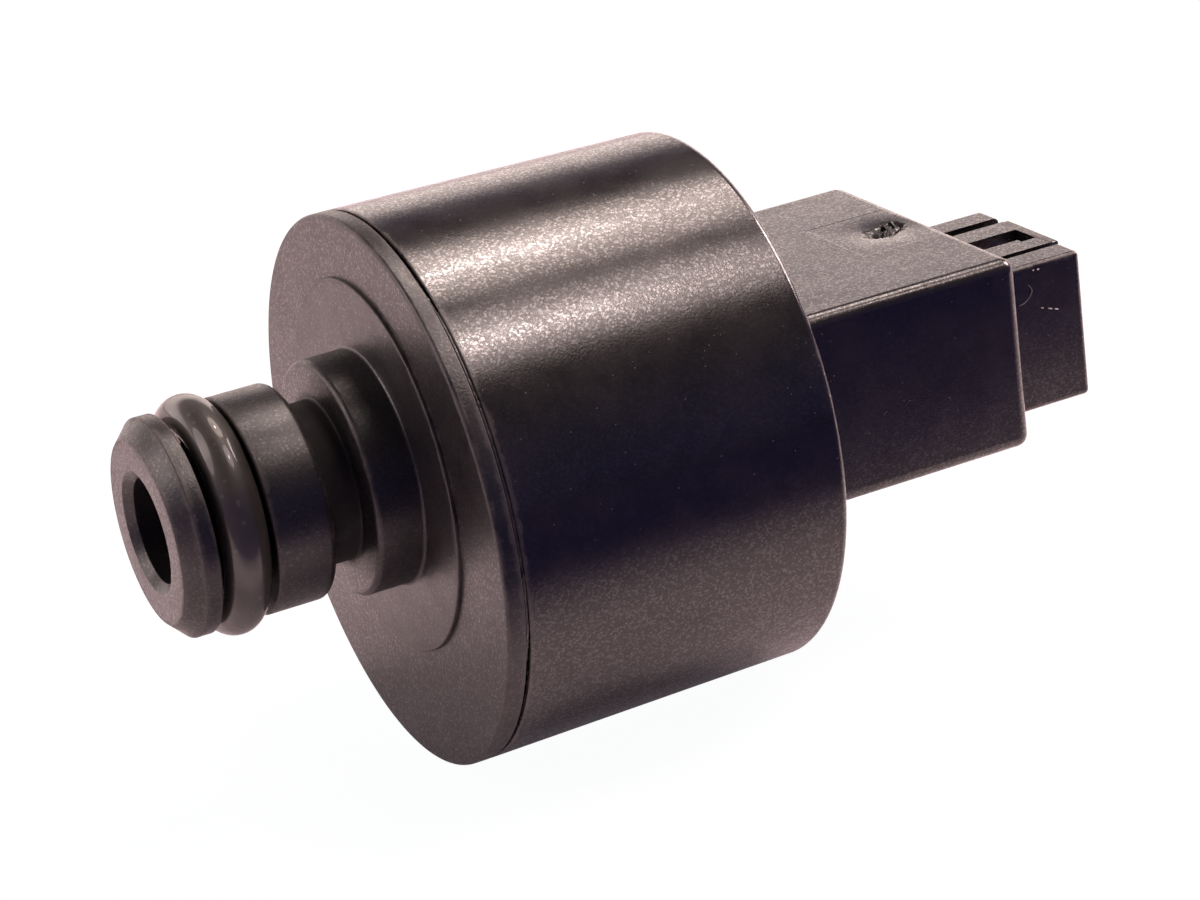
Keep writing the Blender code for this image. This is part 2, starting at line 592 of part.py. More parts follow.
def cut_socket(housing):
    """The plug's socket, the sprung latch with its window, and the pin holes."""
    inside = 0.5 * SHROUD_WIDTH - SHROUD_WALL
    beyond = SHROUD_END + FINE
    roof = SHROUD_TOP - SHROUD_WALL
    cut(housing, box("socket_tool", (BLOCK_END + FINE, -inside, SHROUD_BOTTOM + SHROUD_WALL),
                     (beyond, inside, roof)))
    above = SHROUD_TOP + SHROUD_WALL
    latch = 0.5 * LATCH_WIDTH
    drop = latch + 0.5 * LATCH_SLOT
    cut(housing, box("latch_drop_tool", (BLOCK_END + FINE, -drop, SHROUD_TOP - LATCH_DROP),
                     (beyond, drop, above)))
    for index, side in enumerate((-1.0, 1.0)):
        edges = sorted((side * latch, side * (latch + LATCH_SLOT)))
        cut(housing, box("latch_slot_tool_" + str(index + 1),
                         (BLOCK_END + FINE, edges[0], roof - SHROUD_WALL), (beyond, edges[1], above)))
    join(housing, box("bridge_form", (SHROUD_END - LATCH_BRIDGE, -latch, roof),
                      (SHROUD_END + BRIDGE_REACH, latch, SHROUD_TOP + BRIDGE_RISE),
                      radius=2.0 * BRIDGE_RISE,
                      chosen=lambda edge: all(v.co.z > SHROUD_TOP for v in edge.verts)))
    window_end = SHROUD_END - LATCH_BRIDGE
    half = 0.5 * WINDOW_WIDTH
    cut(housing, box("window_tool", (BLOCK_END + WINDOW_INSET, -half, roof - SHROUD_WALL),
                     (window_end, half, above)))
    notch = half + WINDOW_NOTCH
    cut(housing, box("window_notch_tool",
                     (window_end - WINDOW_NOTCH_LENGTH, -notch, roof - SHROUD_WALL),
                     (window_end - FINE, -0.5 * half, above)))
    hole = 0.5 * PIN_SIZE + PRESS_GAP
    for index in range(PIN_COUNT):
        side = pin_place(index)
        cut(housing, box("pin_hole_tool_" + str(index + 1),
                         (CAVITY_END - FINE, side - hole, SHROUD_MIDDLE - hole),
                         (BLOCK_END + 2.0 * FINE, side + hole, SHROUD_MIDDLE + hole)))


def make_rear_housing(surface):
    housing = make_cup(surface)
    add_cup_ribs(housing)
    add_connector(housing)
    cut_socket(housing)
    return housing


def pin_place(index):
    return (index - 0.5 * (PIN_COUNT - 1)) * PIN_PITCH


def make_pins(surface):
    """Square pins, bent down into the board, with a tapered tip in the socket."""
    half = 0.5 * PIN_SIZE
    tip = SHROUD_END - PIN_RECESS
    taper = 1.2 * PIN_SIZE
    path = [(tip, SHROUD_MIDDLE, 0.45, 0.0), (tip - taper, SHROUD_MIDDLE, 1.0, 0.0)]
    for step in range(5):
        angle = 0.5 * pi * step / 4
        bend = PIN_BEND + half
        path.append((PIN_TAIL_X + bend * (1.0 - sin(angle)), SHROUD_MIDDLE - bend * (1.0 - cos(angle)),
                     1.0, angle))
    path.append((PIN_TAIL_X, BOARD_BOTTOM - PIN_TAIL, 1.0, 0.5 * pi))
    for index in range(PIN_COUNT):
        form = bmesh.new()
        rings = []
        for x, z, scale, angle in path:
            size = half * scale
            ring = []
            for across, over in ((-1.0, -1.0), (1.0, -1.0), (1.0, 1.0), (-1.0, 1.0)):
                ring.append(form.verts.new((x - over * size * sin(angle), pin_place(index) + across * size,
                                            z + over * size * cos(angle))))
            rings.append(ring)
        for first, second in zip(rings, rings[1:]):
            for side in range(4):
                after = (side + 1) % 4
                form.faces.new((first[side], first[after], second[after], second[side]))
        form.faces.new(rings[0])
        form.faces.new(rings[-1])
        place("terminal_pin_" + str(index + 1), form, surface, smooth=False)


def make_circuit_board(surface):
    board = box("circuit_board", (BOARD_FRONT, -BOARD_HALF_WIDTH, BOARD_BOTTOM),
                (CAVITY_END - 2.0 * SEAT_GAP, BOARD_HALF_WIDTH, BOARD_TOP), surface)
    hole = 0.5 * PIN_SIZE + BOARD_HOLE_GAP
    lead_hole = 0.5 * LEAD_SIZE + BOARD_HOLE_GAP
    places = [(PIN_TAIL_X, pin_place(index), hole) for index in range(PIN_COUNT)]
    places += [(SENSOR_FRONT + 0.5 * SENSOR_THICKNESS, (index - 1) * LEAD_PITCH, lead_hole)
               for index in range(3)]
    for number, (x, y, size) in enumerate(places):
        cut(board, box("board_hole_tool_" + str(number + 1), (x - size, y - size, BOARD_BOTTOM - FINE),
                       (x + size, y + size, BOARD_TOP + FINE)))
    return board


def make_field_sensor(surface):
    """Moulded package with a chamfered front, standing on three leads."""
    bottom = BOARD_TOP + SENSOR_LIFT
    half = 0.5 * SENSOR_WIDTH
    front = SENSOR_FRONT
    back = SENSOR_FRONT + SENSOR_THICKNESS
    package = box("field_sensor", (front, -half, bottom), (back, half, bottom + SENSOR_HEIGHT), surface,
                  radius=0.3 * SENSOR_THICKNESS, steps=1,
                  chosen=lambda edge: abs(edge.verts[0].co.z - edge.verts[1].co.z) > 0.5 * SENSOR_HEIGHT
                  and edge.verts[0].co.x < front + FINE)
    middle = 0.5 * (front + back)
    for index in range(3):
        side = (index - 1) * LEAD_PITCH
        lead = 0.5 * LEAD_SIZE
        join(package, box("sensor_lead_form_" + str(index + 1),
                          (middle - lead, side - lead, BOARD_BOTTOM - PIN_TAIL),
                          (middle + lead, side + lead, bottom + SENSOR_LIFT)))
    return package


def make_chips(capacitor_surface, resistor_surface):
    """Small parts on the board: two capacitors and a resistor."""
    first = 0.5 * (SENSOR_FRONT + SENSOR_THICKNESS + PIN_TAIL_X - CHIP_LENGTH)
    chips = (("capacitor_1", -1.6 * CHIP_WIDTH, 0.72 * CHIP_WIDTH, capacitor_surface),
             ("capacitor_2", 1.6 * CHIP_WIDTH, 0.72 * CHIP_WIDTH, capacitor_surface),
             ("resistor", 0.0, 0.40 * CHIP_WIDTH, resistor_surface))
    bottom = BOARD_TOP + 0.5 * SEAT_GAP
    for name, side, height, surface in chips:
        box(name, (first, side - 0.5 * CHIP_WIDTH, bottom),
            (first + CHIP_LENGTH, side + 0.5 * CHIP_WIDTH, bottom + height),
            surface, radius=0.06 * CHIP_WIDTH, steps=1)


def build():
    clear_scene()
    plastic = finish("black_filled_nylon", (0.035, 0.030, 0.030), 0.45)
    rubber = finish("black_rubber", (0.030, 0.028, 0.024), 0.35)
    steel = finish("spring_steel", (0.55, 0.55, 0.56), 0.35, 1.0)
    brass = finish("tinned_brass", (0.72, 0.70, 0.66), 0.30, 1.0)
    inner_plastic = finish("natural_acetal", (0.75, 0.74, 0.70), 0.45)
    magnet = finish("sintered_magnet", (0.25, 0.25, 0.26), 0.40, 0.8)
    board = finish("glass_epoxy_board", (0.03, 0.22, 0.10), 0.40)
    package = finish("moulded_epoxy", (0.03, 0.03, 0.035), 0.55)
    ceramic = finish("tan_ceramic", (0.45, 0.33, 0.20), 0.50)
    make_front_housing(plastic)
    make_sealing_ring(rubber)
    make_diaphragm(rubber)
    make_clamp_disc(inner_plastic)
    make_push_nut(steel)
    make_plunger(inner_plastic)
    make_magnet(magnet)
    make_spring(steel)
    make_spring_washer(steel)
    make_adjusting_screw(inner_plastic)
    make_guide_frame(plastic)
    make_rear_housing(plastic)
    make_pins(brass)
    make_circuit_board(board)
    make_field_sensor(package)
    make_chips(ceramic, package)


build()
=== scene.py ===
from math import acos, cos, exp, pi, radians, sin, tan

import bmesh
import bpy
from mathutils import Matrix, Vector, noise


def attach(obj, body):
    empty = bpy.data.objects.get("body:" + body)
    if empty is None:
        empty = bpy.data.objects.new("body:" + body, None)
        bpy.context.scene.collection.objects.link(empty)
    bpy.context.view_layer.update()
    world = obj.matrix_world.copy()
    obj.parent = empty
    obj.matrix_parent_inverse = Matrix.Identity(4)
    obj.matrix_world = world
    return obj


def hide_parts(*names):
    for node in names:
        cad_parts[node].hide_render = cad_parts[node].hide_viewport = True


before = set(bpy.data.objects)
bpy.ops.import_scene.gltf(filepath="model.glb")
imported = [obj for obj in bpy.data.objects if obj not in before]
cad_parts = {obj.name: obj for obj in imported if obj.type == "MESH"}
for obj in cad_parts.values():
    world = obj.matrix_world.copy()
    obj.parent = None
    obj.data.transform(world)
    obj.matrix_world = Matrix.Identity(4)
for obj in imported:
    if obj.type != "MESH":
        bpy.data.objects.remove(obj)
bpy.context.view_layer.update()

MM = 0.001


# The room. A white table under two small warm lamps, each in a wider shade, with two soft
# lamps at the sides, a light wall behind and a dim bluish room on the viewer's side. The
# camera stands where the photograph was taken from: before the nose end, a little above it.
def add_object(name, data):
    made = bpy.data.objects.new(name, data)
    bpy.context.scene.collection.objects.link(made)
    return made


camera_data = bpy.data.cameras.new("photo_camera")
camera_data.lens = 108.02
camera_data.sensor_width = 36.0
camera_data.clip_start = 0.01
camera_data.clip_end = 20.0
camera = add_object("photo_camera", camera_data)
camera_right = Vector((0.88585, -0.44719, -0.12365))
camera_up = Vector((0.26733, 0.27411, 0.92380))
camera_back = Vector((-0.37922, -0.85140, 0.36237))
camera_place = Vector((-0.055554, -0.158188, 0.064600))
turn = Matrix((camera_right, camera_up, camera_back)).transposed()
camera.matrix_world = Matrix.Translation(camera_place) @ turn.to_4x4()
bpy.context.scene.camera = camera
bpy.context.scene.view_settings.view_transform = "Standard"
bpy.context.scene.view_settings.look = "None"


def feed(tree, made, inputs):
    """Fill a node's inputs: a socket, or a node's first output, is linked; the rest are values."""
    for name, value in (inputs or {}).items():
        socket = made.inputs[name]
        if isinstance(value, bpy.types.Node):
            value = value.outputs[0]
        if isinstance(value, bpy.types.NodeSocket):
            tree.links.new(value, socket)
        else:
            socket.default_value = value


def add_node(tree, kind, inputs=None, **settings):
    """Add a shader node with its settings and inputs."""
    made = tree.nodes.new("ShaderNode" + kind)
    for name, value in settings.items():
        setattr(made, name, value)
    feed(tree, made, inputs)
    return made


def calculate(tree, operation, first, second=0.0, third=0.0, clamp=False):
    made = add_node(tree, "Math", {0: first, 1: second, 2: third}, operation=operation, use_clamp=clamp)
    return made.outputs[0]


def times(tree, first, second):
    return calculate(tree, "MULTIPLY", first, second)


def rise(tree, value, low, high, start=0.0, end=1.0):
    """A soft step of a value from low to high."""
    inputs = {"Value": value, "From Min": low, "From Max": high, "To Min": start, "To Max": end}
    return add_node(tree, "MapRange", inputs, interpolation_type="SMOOTHSTEP").outputs["Result"]


def mix_colours(tree, share, first, second):
    made = add_node(tree, "Mix", {0: share, 6: first, 7: second}, data_type="RGBA", blend_type="MIX")
    return made.outputs[2]


paper_white = (0.965, 0.97, 0.975, 1)
room = bpy.data.worlds.new("room")
room.use_nodes = True
room_tree = room.node_tree
room_tree.nodes.clear()
looking = add_node(room_tree, "TexCoord").outputs["Generated"]
sides = add_node(room_tree, "SeparateXYZ", {0: looking}).outputs
behind = rise(room_tree, sides["Y"], -0.05, 0.55)
low_down = rise(room_tree, sides["Z"], 0.27, 0.46, 1.0, 0.0)
wall = times(room_tree, behind, low_down)
dim = mix_colours(room_tree, rise(room_tree, sides["Z"], 0.1, 0.7),
                  (0.085, 0.080, 0.230, 1), (0.12, 0.10, 0.10, 1))
lit = mix_colours(room_tree, wall, dim, (1.86, 1.53, 1.42, 1))
looked_at = add_node(room_tree, "LightPath").outputs["Is Camera Ray"]
shown = mix_colours(room_tree, looked_at, lit, paper_white)
glow = add_node(room_tree, "Background", {"Color": shown, "Strength": 1.0})
add_node(room_tree, "OutputWorld", {"Surface": glow})
bpy.context.scene.world = room

lamp_distance = 0.6
for lamp_name, towards, strength, size, tint in (
        ("rear_lamp", (0.38, 0.25, 0.88), 75.0, 0.018, (1.0, 0.84, 0.78)),
        ("rear_shade", (0.38, 0.25, 0.88), 6.7, 0.138, (1.0, 0.81, 0.74)),
        ("front_lamp", (0.37, -0.33, 0.87), 100.0, 0.017, (1.0, 0.83, 0.78)),
        ("front_shade", (0.37, -0.31, 0.87), 6.0, 0.122, (1.0, 0.80, 0.75)),
        ("side_lamp", (0.82, 0.00, 0.57), 19.0, 0.140, (1.0, 0.80, 0.76)),
        ("left_lamp", (-0.78, 0.26, 0.57), 4.0, 0.200, (1.0, 0.82, 0.78))):
    direction = Vector(towards).normalized()
    lamp_data = bpy.data.lights.new(lamp_name, "AREA")
    lamp_data.shape = "DISK"
    lamp_data.size = 2.0 * size
    lamp_data.energy = strength * pi * pi * size * size
    lamp_data.color = tint
    lamp = add_object(lamp_name, lamp_data)
    lamp.location = direction * lamp_distance
    lamp.rotation_mode = "QUATERNION"
    lamp.rotation_quaternion = direction.to_track_quat("Z", "Y")

table_height = -15.88
table_form = bmesh.new()
bmesh.ops.create_grid(table_form, x_segments=2, y_segments=2, size=4.0)
bmesh.ops.translate(table_form, vec=(0.0, 0.0, table_height * MM), verts=table_form.verts[:])
table_mesh = bpy.data.meshes.new("table_top")
table_form.to_mesh(table_mesh)
table_form.free()
table_top = add_object("table_top", table_mesh)
table_paint = bpy.data.materials.new("white_table")
table_paint.use_nodes = True
paint_tree = table_paint.node_tree
paint_tree.nodes.clear()
seen = add_node(paint_tree, "LightPath").outputs["Is Camera Ray"]
on_table = add_node(paint_tree, "TexCoord").outputs["Object"]
# Seen only in reflections: painted shade, a dark navy strip on the viewer's side for the dim room there, and
# painted fill light, a faint glow over the rest of the table.
beyond_painted_shade = rise(paint_tree, add_node(paint_tree, "SeparateXYZ", {0: on_table}).outputs["Y"], -0.042, -0.016)
table_with_painted_shade = mix_colours(paint_tree, beyond_painted_shade, (0.03, 0.03, 0.13, 1), (0.84, 0.745, 0.78, 1))
bounced = add_node(paint_tree, "BsdfDiffuse", {"Color": table_with_painted_shade})
painted_fill_glow = mix_colours(paint_tree, beyond_painted_shade, (0.0, 0.0, 0.0, 1), (0.095, 0.080, 0.082, 1))
painted_fill_light = add_node(paint_tree, "Emission", {"Color": painted_fill_glow, "Strength": 1.0})
table_with_painted_fill = add_node(paint_tree, "AddShader", {0: bounced, 1: painted_fill_light})
matt = add_node(paint_tree, "BsdfDiffuse", {"Color": (0.05, 0.055, 0.06, 1)})
shine = add_node(paint_tree, "Emission", {"Color": paper_white, "Strength": 1.0})
pale = add_node(paint_tree, "AddShader", {0: matt, 1: shine})
both = add_node(paint_tree, "MixShader", {0: seen, 1: table_with_painted_fill, 2: pale})
add_node(paint_tree, "OutputMaterial", {"Surface": both})
table_mesh.materials.append(table_paint)


# The front moulding. Nose, sealing groove, shank, clip groove, collar and the round disc
# are one moulding in black glass-filled nylon, with the water's bore right through it.
# Its tool was spark-eroded, so every face has the same fine matt grain.
port_height = 0.0
body_height = -1.50
nose_tip = -9.68
nose_face_radius = 4.70
land_front = -8.80
land_radius = 5.60
groove_front = -7.95
groove_rear = -5.05
groove_floor = 3.65
shank_radius = 5.57
shank_rear = -1.90
neck_radius = 4.15
collar_radius = 6.10
pad_face = 2.50
pad_radius = 9.70
disc_face = 2.70
body_radius = 14.35
seam_front = 3.65
plug_radius = 12.35
plug_end = 6.60
chamber_floor = 4.30
chamber_radius = 7.00
relief_outer = 9.35
relief_inner = 7.85
relief_floor = 5.45
stop_low = (chamber_floor - 0.6, 3.30, -0.50)
stop_high = (5.65, 4.40, 0.50)
bore_radius = 2.70
mouth_radius = 3.15
mouth_depth = 0.42


def rounded(corners, steps=7):
    """A section's points (x, radius) from corners (x, radius, rounding), in millimetres."""
    points = []
    for place, (x, radius, rounding) in enumerate(corners):
        here = Vector((x, radius))
        if rounding == 0.0 or place in (0, len(corners) - 1):
            points.append(here)
            continue
        before = (Vector(corners[place - 1][:2]) - here).normalized()
        after = (Vector(corners[place + 1][:2]) - here).normalized()
        half = 0.5 * acos(max(-1.0, min(1.0, before.dot(after))))
        centre = here + (before + after).normalized() * rounding / sin(half)
        first = here + before * rounding / tan(half) - centre
        last = here + after * rounding / tan(half) - centre
        for step in range(steps + 1):
            points.append(centre + first.slerp(last, step / steps).normalized() * rounding)
    return points


def skin_rings(rings, segments, closed=True):
    """Skin rings (x, radius, height of centre), in millimetres; radius 0 is a pole."""
    form = bmesh.new()
    loops = []
    for x, radius, height in rings:
        if radius == 0.0:
            loops.append([form.verts.new((x * MM, 0.0, height * MM))] * segments)
            continue
        loop = []
        for step in range(segments):
            angle = 2.0 * pi * step / segments
            place = Vector((x, radius * sin(angle), height + radius * cos(angle)))
            loop.append(form.verts.new(place * MM))
        loops.append(loop)
    following = loops[1:] + (loops[:1] if closed else [])
    for first, second in zip(loops, following):
        for step in range(segments):
            after = (step + 1) % segments
            corners = [first[step], first[after], second[after], second[step]]
            face = list(dict.fromkeys(corners))
            if len(face) > 2:
                form.faces.new(face)
    bmesh.ops.recalc_face_normals(form, faces=form.faces[:])
    return form


def add_bar(form, low, high, turned=0.0, height=0.0):
    """A plain bar inside another form, in millimetres, turned about the body's axis."""
    made = bmesh.ops.create_cube(form, size=1.0)["verts"]
    for vert in made:
        for axis in range(3):
            middle = 0.5 * (low[axis] + high[axis])
            vert.co[axis] = (middle + vert.co[axis] * (high[axis] - low[axis])) * MM
    bmesh.ops.rotate(form, verts=made, cent=(0, 0, 0), matrix=Matrix.Rotation(turned, 3, "X"))
    bmesh.ops.translate(form, verts=made, vec=(0.0, 0.0, height * MM))
    return made


def make_piece(name, form):
    mesh = bpy.data.meshes.new(name)
    form.to_mesh(mesh)
    form.free()
    piece = add_object(name, mesh)
    return piece


def settle(piece):
    """Make what the modifiers do part of the mesh, and leave none on the piece."""
    graph = bpy.context.evaluated_depsgraph_get()
    mesh = bpy.data.meshes.new_from_object(piece.evaluated_get(graph), depsgraph=graph)
    mesh.name = piece.name
    piece.modifiers.clear()
    piece.data = mesh


def shade(piece, sharp=38.0):
    """Smooth shading that keeps flat faces flat and true corners crisp."""
    piece.data.shade_smooth()
    piece.data.set_sharp_from_angle(angle=radians(sharp))
    weighing = piece.modifiers.new("flat faces stay flat", "WEIGHTED_NORMAL")
    weighing.keep_sharp = True
    weighing.weight = 80
    settle(piece)


port_corners = [
    (chamber_floor, bore_radius, 0.0),
    (nose_tip + mouth_depth, bore_radius, 0.08),
    (nose_tip, mouth_radius, 0.06),
    (nose_tip, nose_face_radius, 0.16),
    (land_front, land_radius, 0.12),
    (groove_front, land_radius, 0.12),
    (groove_front, groove_floor, 0.10),
    (groove_rear, groove_floor, 0.10),
    (groove_rear, shank_radius, 0.12),
    (shank_rear, shank_radius, 0.42),
    (shank_rear, neck_radius, 0.12),
    (0.0, neck_radius, 0.15),
    (0.0, collar_radius, 0.32),
    (pad_face, collar_radius, 0.18),
    (pad_face, pad_radius, 0.07),
    (disc_face, pad_radius, 0.0),
]
body_corners = [
    (disc_face, pad_radius + 1.8, 0.0),
    (disc_face, body_radius, 0.22),
    (seam_front, body_radius, 0.05),
    (seam_front, plug_radius, 0.10),
    (plug_end, plug_radius, 0.15),
    (plug_end, relief_outer, 0.0),
    (relief_floor, relief_outer, 0.0),
    (relief_floor, relief_inner, 0.0),
    (plug_end, relief_inner, 0.0),
    (plug_end, chamber_radius, 0.10),
    (chamber_floor, chamber_radius, 0.0),
]
front_rings = [(point.x, point.y, port_height) for point in rounded(port_corners)]
front_rings += [(point.x, point.y, body_height) for point in rounded(body_corners)]
front_form = skin_rings(front_rings, 224)
for stop_angle in (0.0, 180.0, 270.0):
    add_bar(front_form, stop_low, stop_high, radians(stop_angle), body_height)
front_moulding = make_piece("front_moulding", front_form)
shade(front_moulding)


def new_group(name, inputs, outputs):
    """A shader node group that takes a Vector and other inputs, as (name, kind, value)."""
    group = bpy.data.node_groups.new(name, "ShaderNodeTree")
    group.interface.new_socket(name="Vector", in_out="INPUT", socket_type="NodeSocketVector")
    for label, kind, value in inputs:
        socket = group.interface.new_socket(name=label, in_out="INPUT", socket_type="NodeSocket" + kind)
        socket.default_value = value
    for label, kind in outputs:
        group.interface.new_socket(name=label, in_out="OUTPUT", socket_type="NodeSocket" + kind)
    entry = group.nodes.new("NodeGroupInput")
    leaving = group.nodes.new("NodeGroupOutput")
    return group, entry.outputs, leaving.inputs


def clouds(tree, place, scale, detail, roughness):
    """Soft uneven blotches with values about 0 to 1, by their number to the metre."""
    inputs = {"Vector": place, "Scale": scale, "Detail": detail, "Roughness": roughness}
    return add_node(tree, "TexNoise", inputs).outputs["Fac"]


def relief(tree, height, depth):
    """Fine unevenness of a surface, with its full depth in metres."""
    return add_node(tree, "Bump", {"Height": height, "Distance": depth, "Strength": 1.0})


# Spark-eroded mould texture: rounded pits a few tenths of a millimetre wide, and the
# slow waviness that shrinkage leaves in a thick wall.
grain_group, entry, leaving = new_group(
    "spark_eroded_grain",
    [("Grain Size", "Float", 0.00022), ("Wave Size", "Float", 0.004),
     ("Wave Share", "Float", 0.5)],
    [("Height", "Float"), ("Wave", "Float"), ("Grain", "Float")])
grain_scale = calculate(grain_group, "DIVIDE", 1.0, entry["Grain Size"])
wave_scale = calculate(grain_group, "DIVIDE", 1.0, entry["Wave Size"])
pits = clouds(grain_group, entry["Vector"], grain_scale, 3.0, 0.62)
cells = add_node(grain_group, "TexVoronoi", {"Vector": entry["Vector"], "Scale": grain_scale},
                 feature="SMOOTH_F1")
swell = clouds(grain_group, entry["Vector"], wave_scale, 2.0, 0.45)
pitted = calculate(grain_group, "MULTIPLY_ADD", cells.outputs["Distance"], 0.5, pits)
waved = times(grain_group, swell, entry["Wave Share"])
grain_group.links.new(calculate(grain_group, "ADD", pitted, waved), leaving["Height"])
grain_group.links.new(swell, leaving["Wave"])
grain_group.links.new(pits, leaving["Grain"])

# Glass fibre ends that lie bare in the skin and catch the light as pale specks.
fleck_group, entry, leaving = new_group(
    "bare_fibre_flecks",
    [("Fleck Size", "Float", 0.00012), ("Amount", "Float", 0.10)],
    [("Mask", "Float")])
fleck_scale = calculate(fleck_group, "DIVIDE", 1.0, entry["Fleck Size"])
spots = add_node(fleck_group, "TexVoronoi", {"Vector": entry["Vector"], "Scale": fleck_scale}, feature="F1")
chance = add_node(fleck_group, "SeparateColor", {0: spots.outputs["Color"]}).outputs[0]
chosen = calculate(fleck_group, "LESS_THAN", chance, entry["Amount"])
near = rise(fleck_group, spots.outputs["Distance"], 0.20, 0.45, 1.0, 0.0)
fleck_group.links.new(times(fleck_group, chosen, near), leaving["Mask"])

# Handling wear and painted highlight: edges polished or greyed in broken patches, the lighter grey partly
# real wear and partly painted sheen along the rims, from how near a point is to the edge of a round step (its
# X and radius) or of a box.
wear_and_sheen_group, entry, leaving = new_group(
    "broken_edge_wear_and_sheen",
    [("Distance", "Float", 0.001), ("Width", "Float", 0.0003),
     ("Patch Size", "Float", 0.0015)],
    [("Mask", "Float")])
patch_scale = calculate(wear_and_sheen_group, "DIVIDE", 1.0, entry["Patch Size"])
patches = clouds(wear_and_sheen_group, entry["Vector"], patch_scale, 4.0, 0.65)
share = calculate(wear_and_sheen_group, "DIVIDE", entry["Distance"], entry["Width"])
left_over = calculate(wear_and_sheen_group, "SUBTRACT", 1.0, share, clamp=True)
wear_and_edge_sheen = calculate(wear_and_sheen_group, "MULTIPLY_ADD", patches, 2.2, -1.1)
wear_and_edge_sheen = calculate(wear_and_sheen_group, "ADD", wear_and_edge_sheen, left_over)
wear_and_edge_sheen = rise(wear_and_sheen_group, wear_and_edge_sheen, 0.25, 0.95)
wear_and_edge_sheen = times(wear_and_sheen_group, wear_and_edge_sheen, rise(wear_and_sheen_group, left_over, 0.0, 0.3))
wear_and_sheen_group.links.new(wear_and_edge_sheen, leaving["Mask"])

round_edge_group, entry, leaving = new_group(
    "distance_to_round_edge",
    [("Centre Z", "Float", 0.0), ("Edge X", "Float", 0.0),
     ("Edge Radius", "Float", 0.01)],
    [("Distance", "Float")])
parts = add_node(round_edge_group, "SeparateXYZ", {0: entry["Vector"]}).outputs
offset = calculate(round_edge_group, "SUBTRACT", parts["Z"], entry["Centre Z"])
squares = times(round_edge_group, parts["Y"], parts["Y"])
squares = calculate(round_edge_group, "MULTIPLY_ADD", offset, offset, squares)
radius_here = calculate(round_edge_group, "SQRT", squares)
along = calculate(round_edge_group, "SUBTRACT", parts["X"], entry["Edge X"])
across = calculate(round_edge_group, "SUBTRACT", radius_here, entry["Edge Radius"])
squares = times(round_edge_group, along, along)
squares = calculate(round_edge_group, "MULTIPLY_ADD", across, across, squares)
round_edge_group.links.new(calculate(round_edge_group, "SQRT", squares), leaving["Distance"])


def of_three(tree, operation, parts):
    """One operation over X, Y and Z, such as the smallest of the three."""
    made = calculate(tree, operation, parts["X"], parts["Y"])
    return calculate(tree, operation, made, parts["Z"])


# The middle one of the three distances to a box's faces is the distance to its nearest
# edge; beyond the box, what lies past its furthest face counts instead.
box_edge_group, entry, leaving = new_group(
    "distance_to_box_edge",
    [("Centre", "Vector", (0.0, 0.0, 0.0)),
     ("Half Size", "Vector", (0.01, 0.01, 0.01))],
    [("Distance", "Float")])
moved = add_node(box_edge_group, "VectorMath", {0: entry["Vector"], 1: entry["Centre"]}, operation="SUBTRACT")
folded = add_node(box_edge_group, "VectorMath", {0: moved}, operation="ABSOLUTE")
past = add_node(box_edge_group, "VectorMath", {0: folded, 1: entry["Half Size"]}, operation="SUBTRACT")
gaps = add_node(box_edge_group, "VectorMath", {0: past}, operation="ABSOLUTE")
past = add_node(box_edge_group, "SeparateXYZ", {0: past}).outputs
gaps = add_node(box_edge_group, "SeparateXYZ", {0: gaps}).outputs
middle_one = calculate(box_edge_group, "SUBTRACT", of_three(box_edge_group, "ADD", gaps),
                       of_three(box_edge_group, "MINIMUM", gaps))
middle_one = calculate(box_edge_group, "SUBTRACT", middle_one, of_three(box_edge_group, "MAXIMUM", gaps))
furthest = of_three(box_edge_group, "MAXIMUM", past)
box_edge_group.links.new(calculate(box_edge_group, "MAXIMUM", middle_one, furthest), leaving["Distance"])


def place_group(tree, group, inputs):
    made = tree.nodes.new("ShaderNodeGroup")
    made.node_tree = group
    feed(tree, made, inputs)
    return made.outputs


def new_material(name):
    made = bpy.data.materials.new(name)
    made.use_nodes = True
    tree = made.node_tree
    tree.nodes.clear()
    shader = add_node(tree, "BsdfPrincipled")
    add_node(tree, "OutputMaterial", {"Surface": shader.outputs[0]})
    place = add_node(tree, "TexCoord").outputs["Object"]
    return made, tree, shader, place


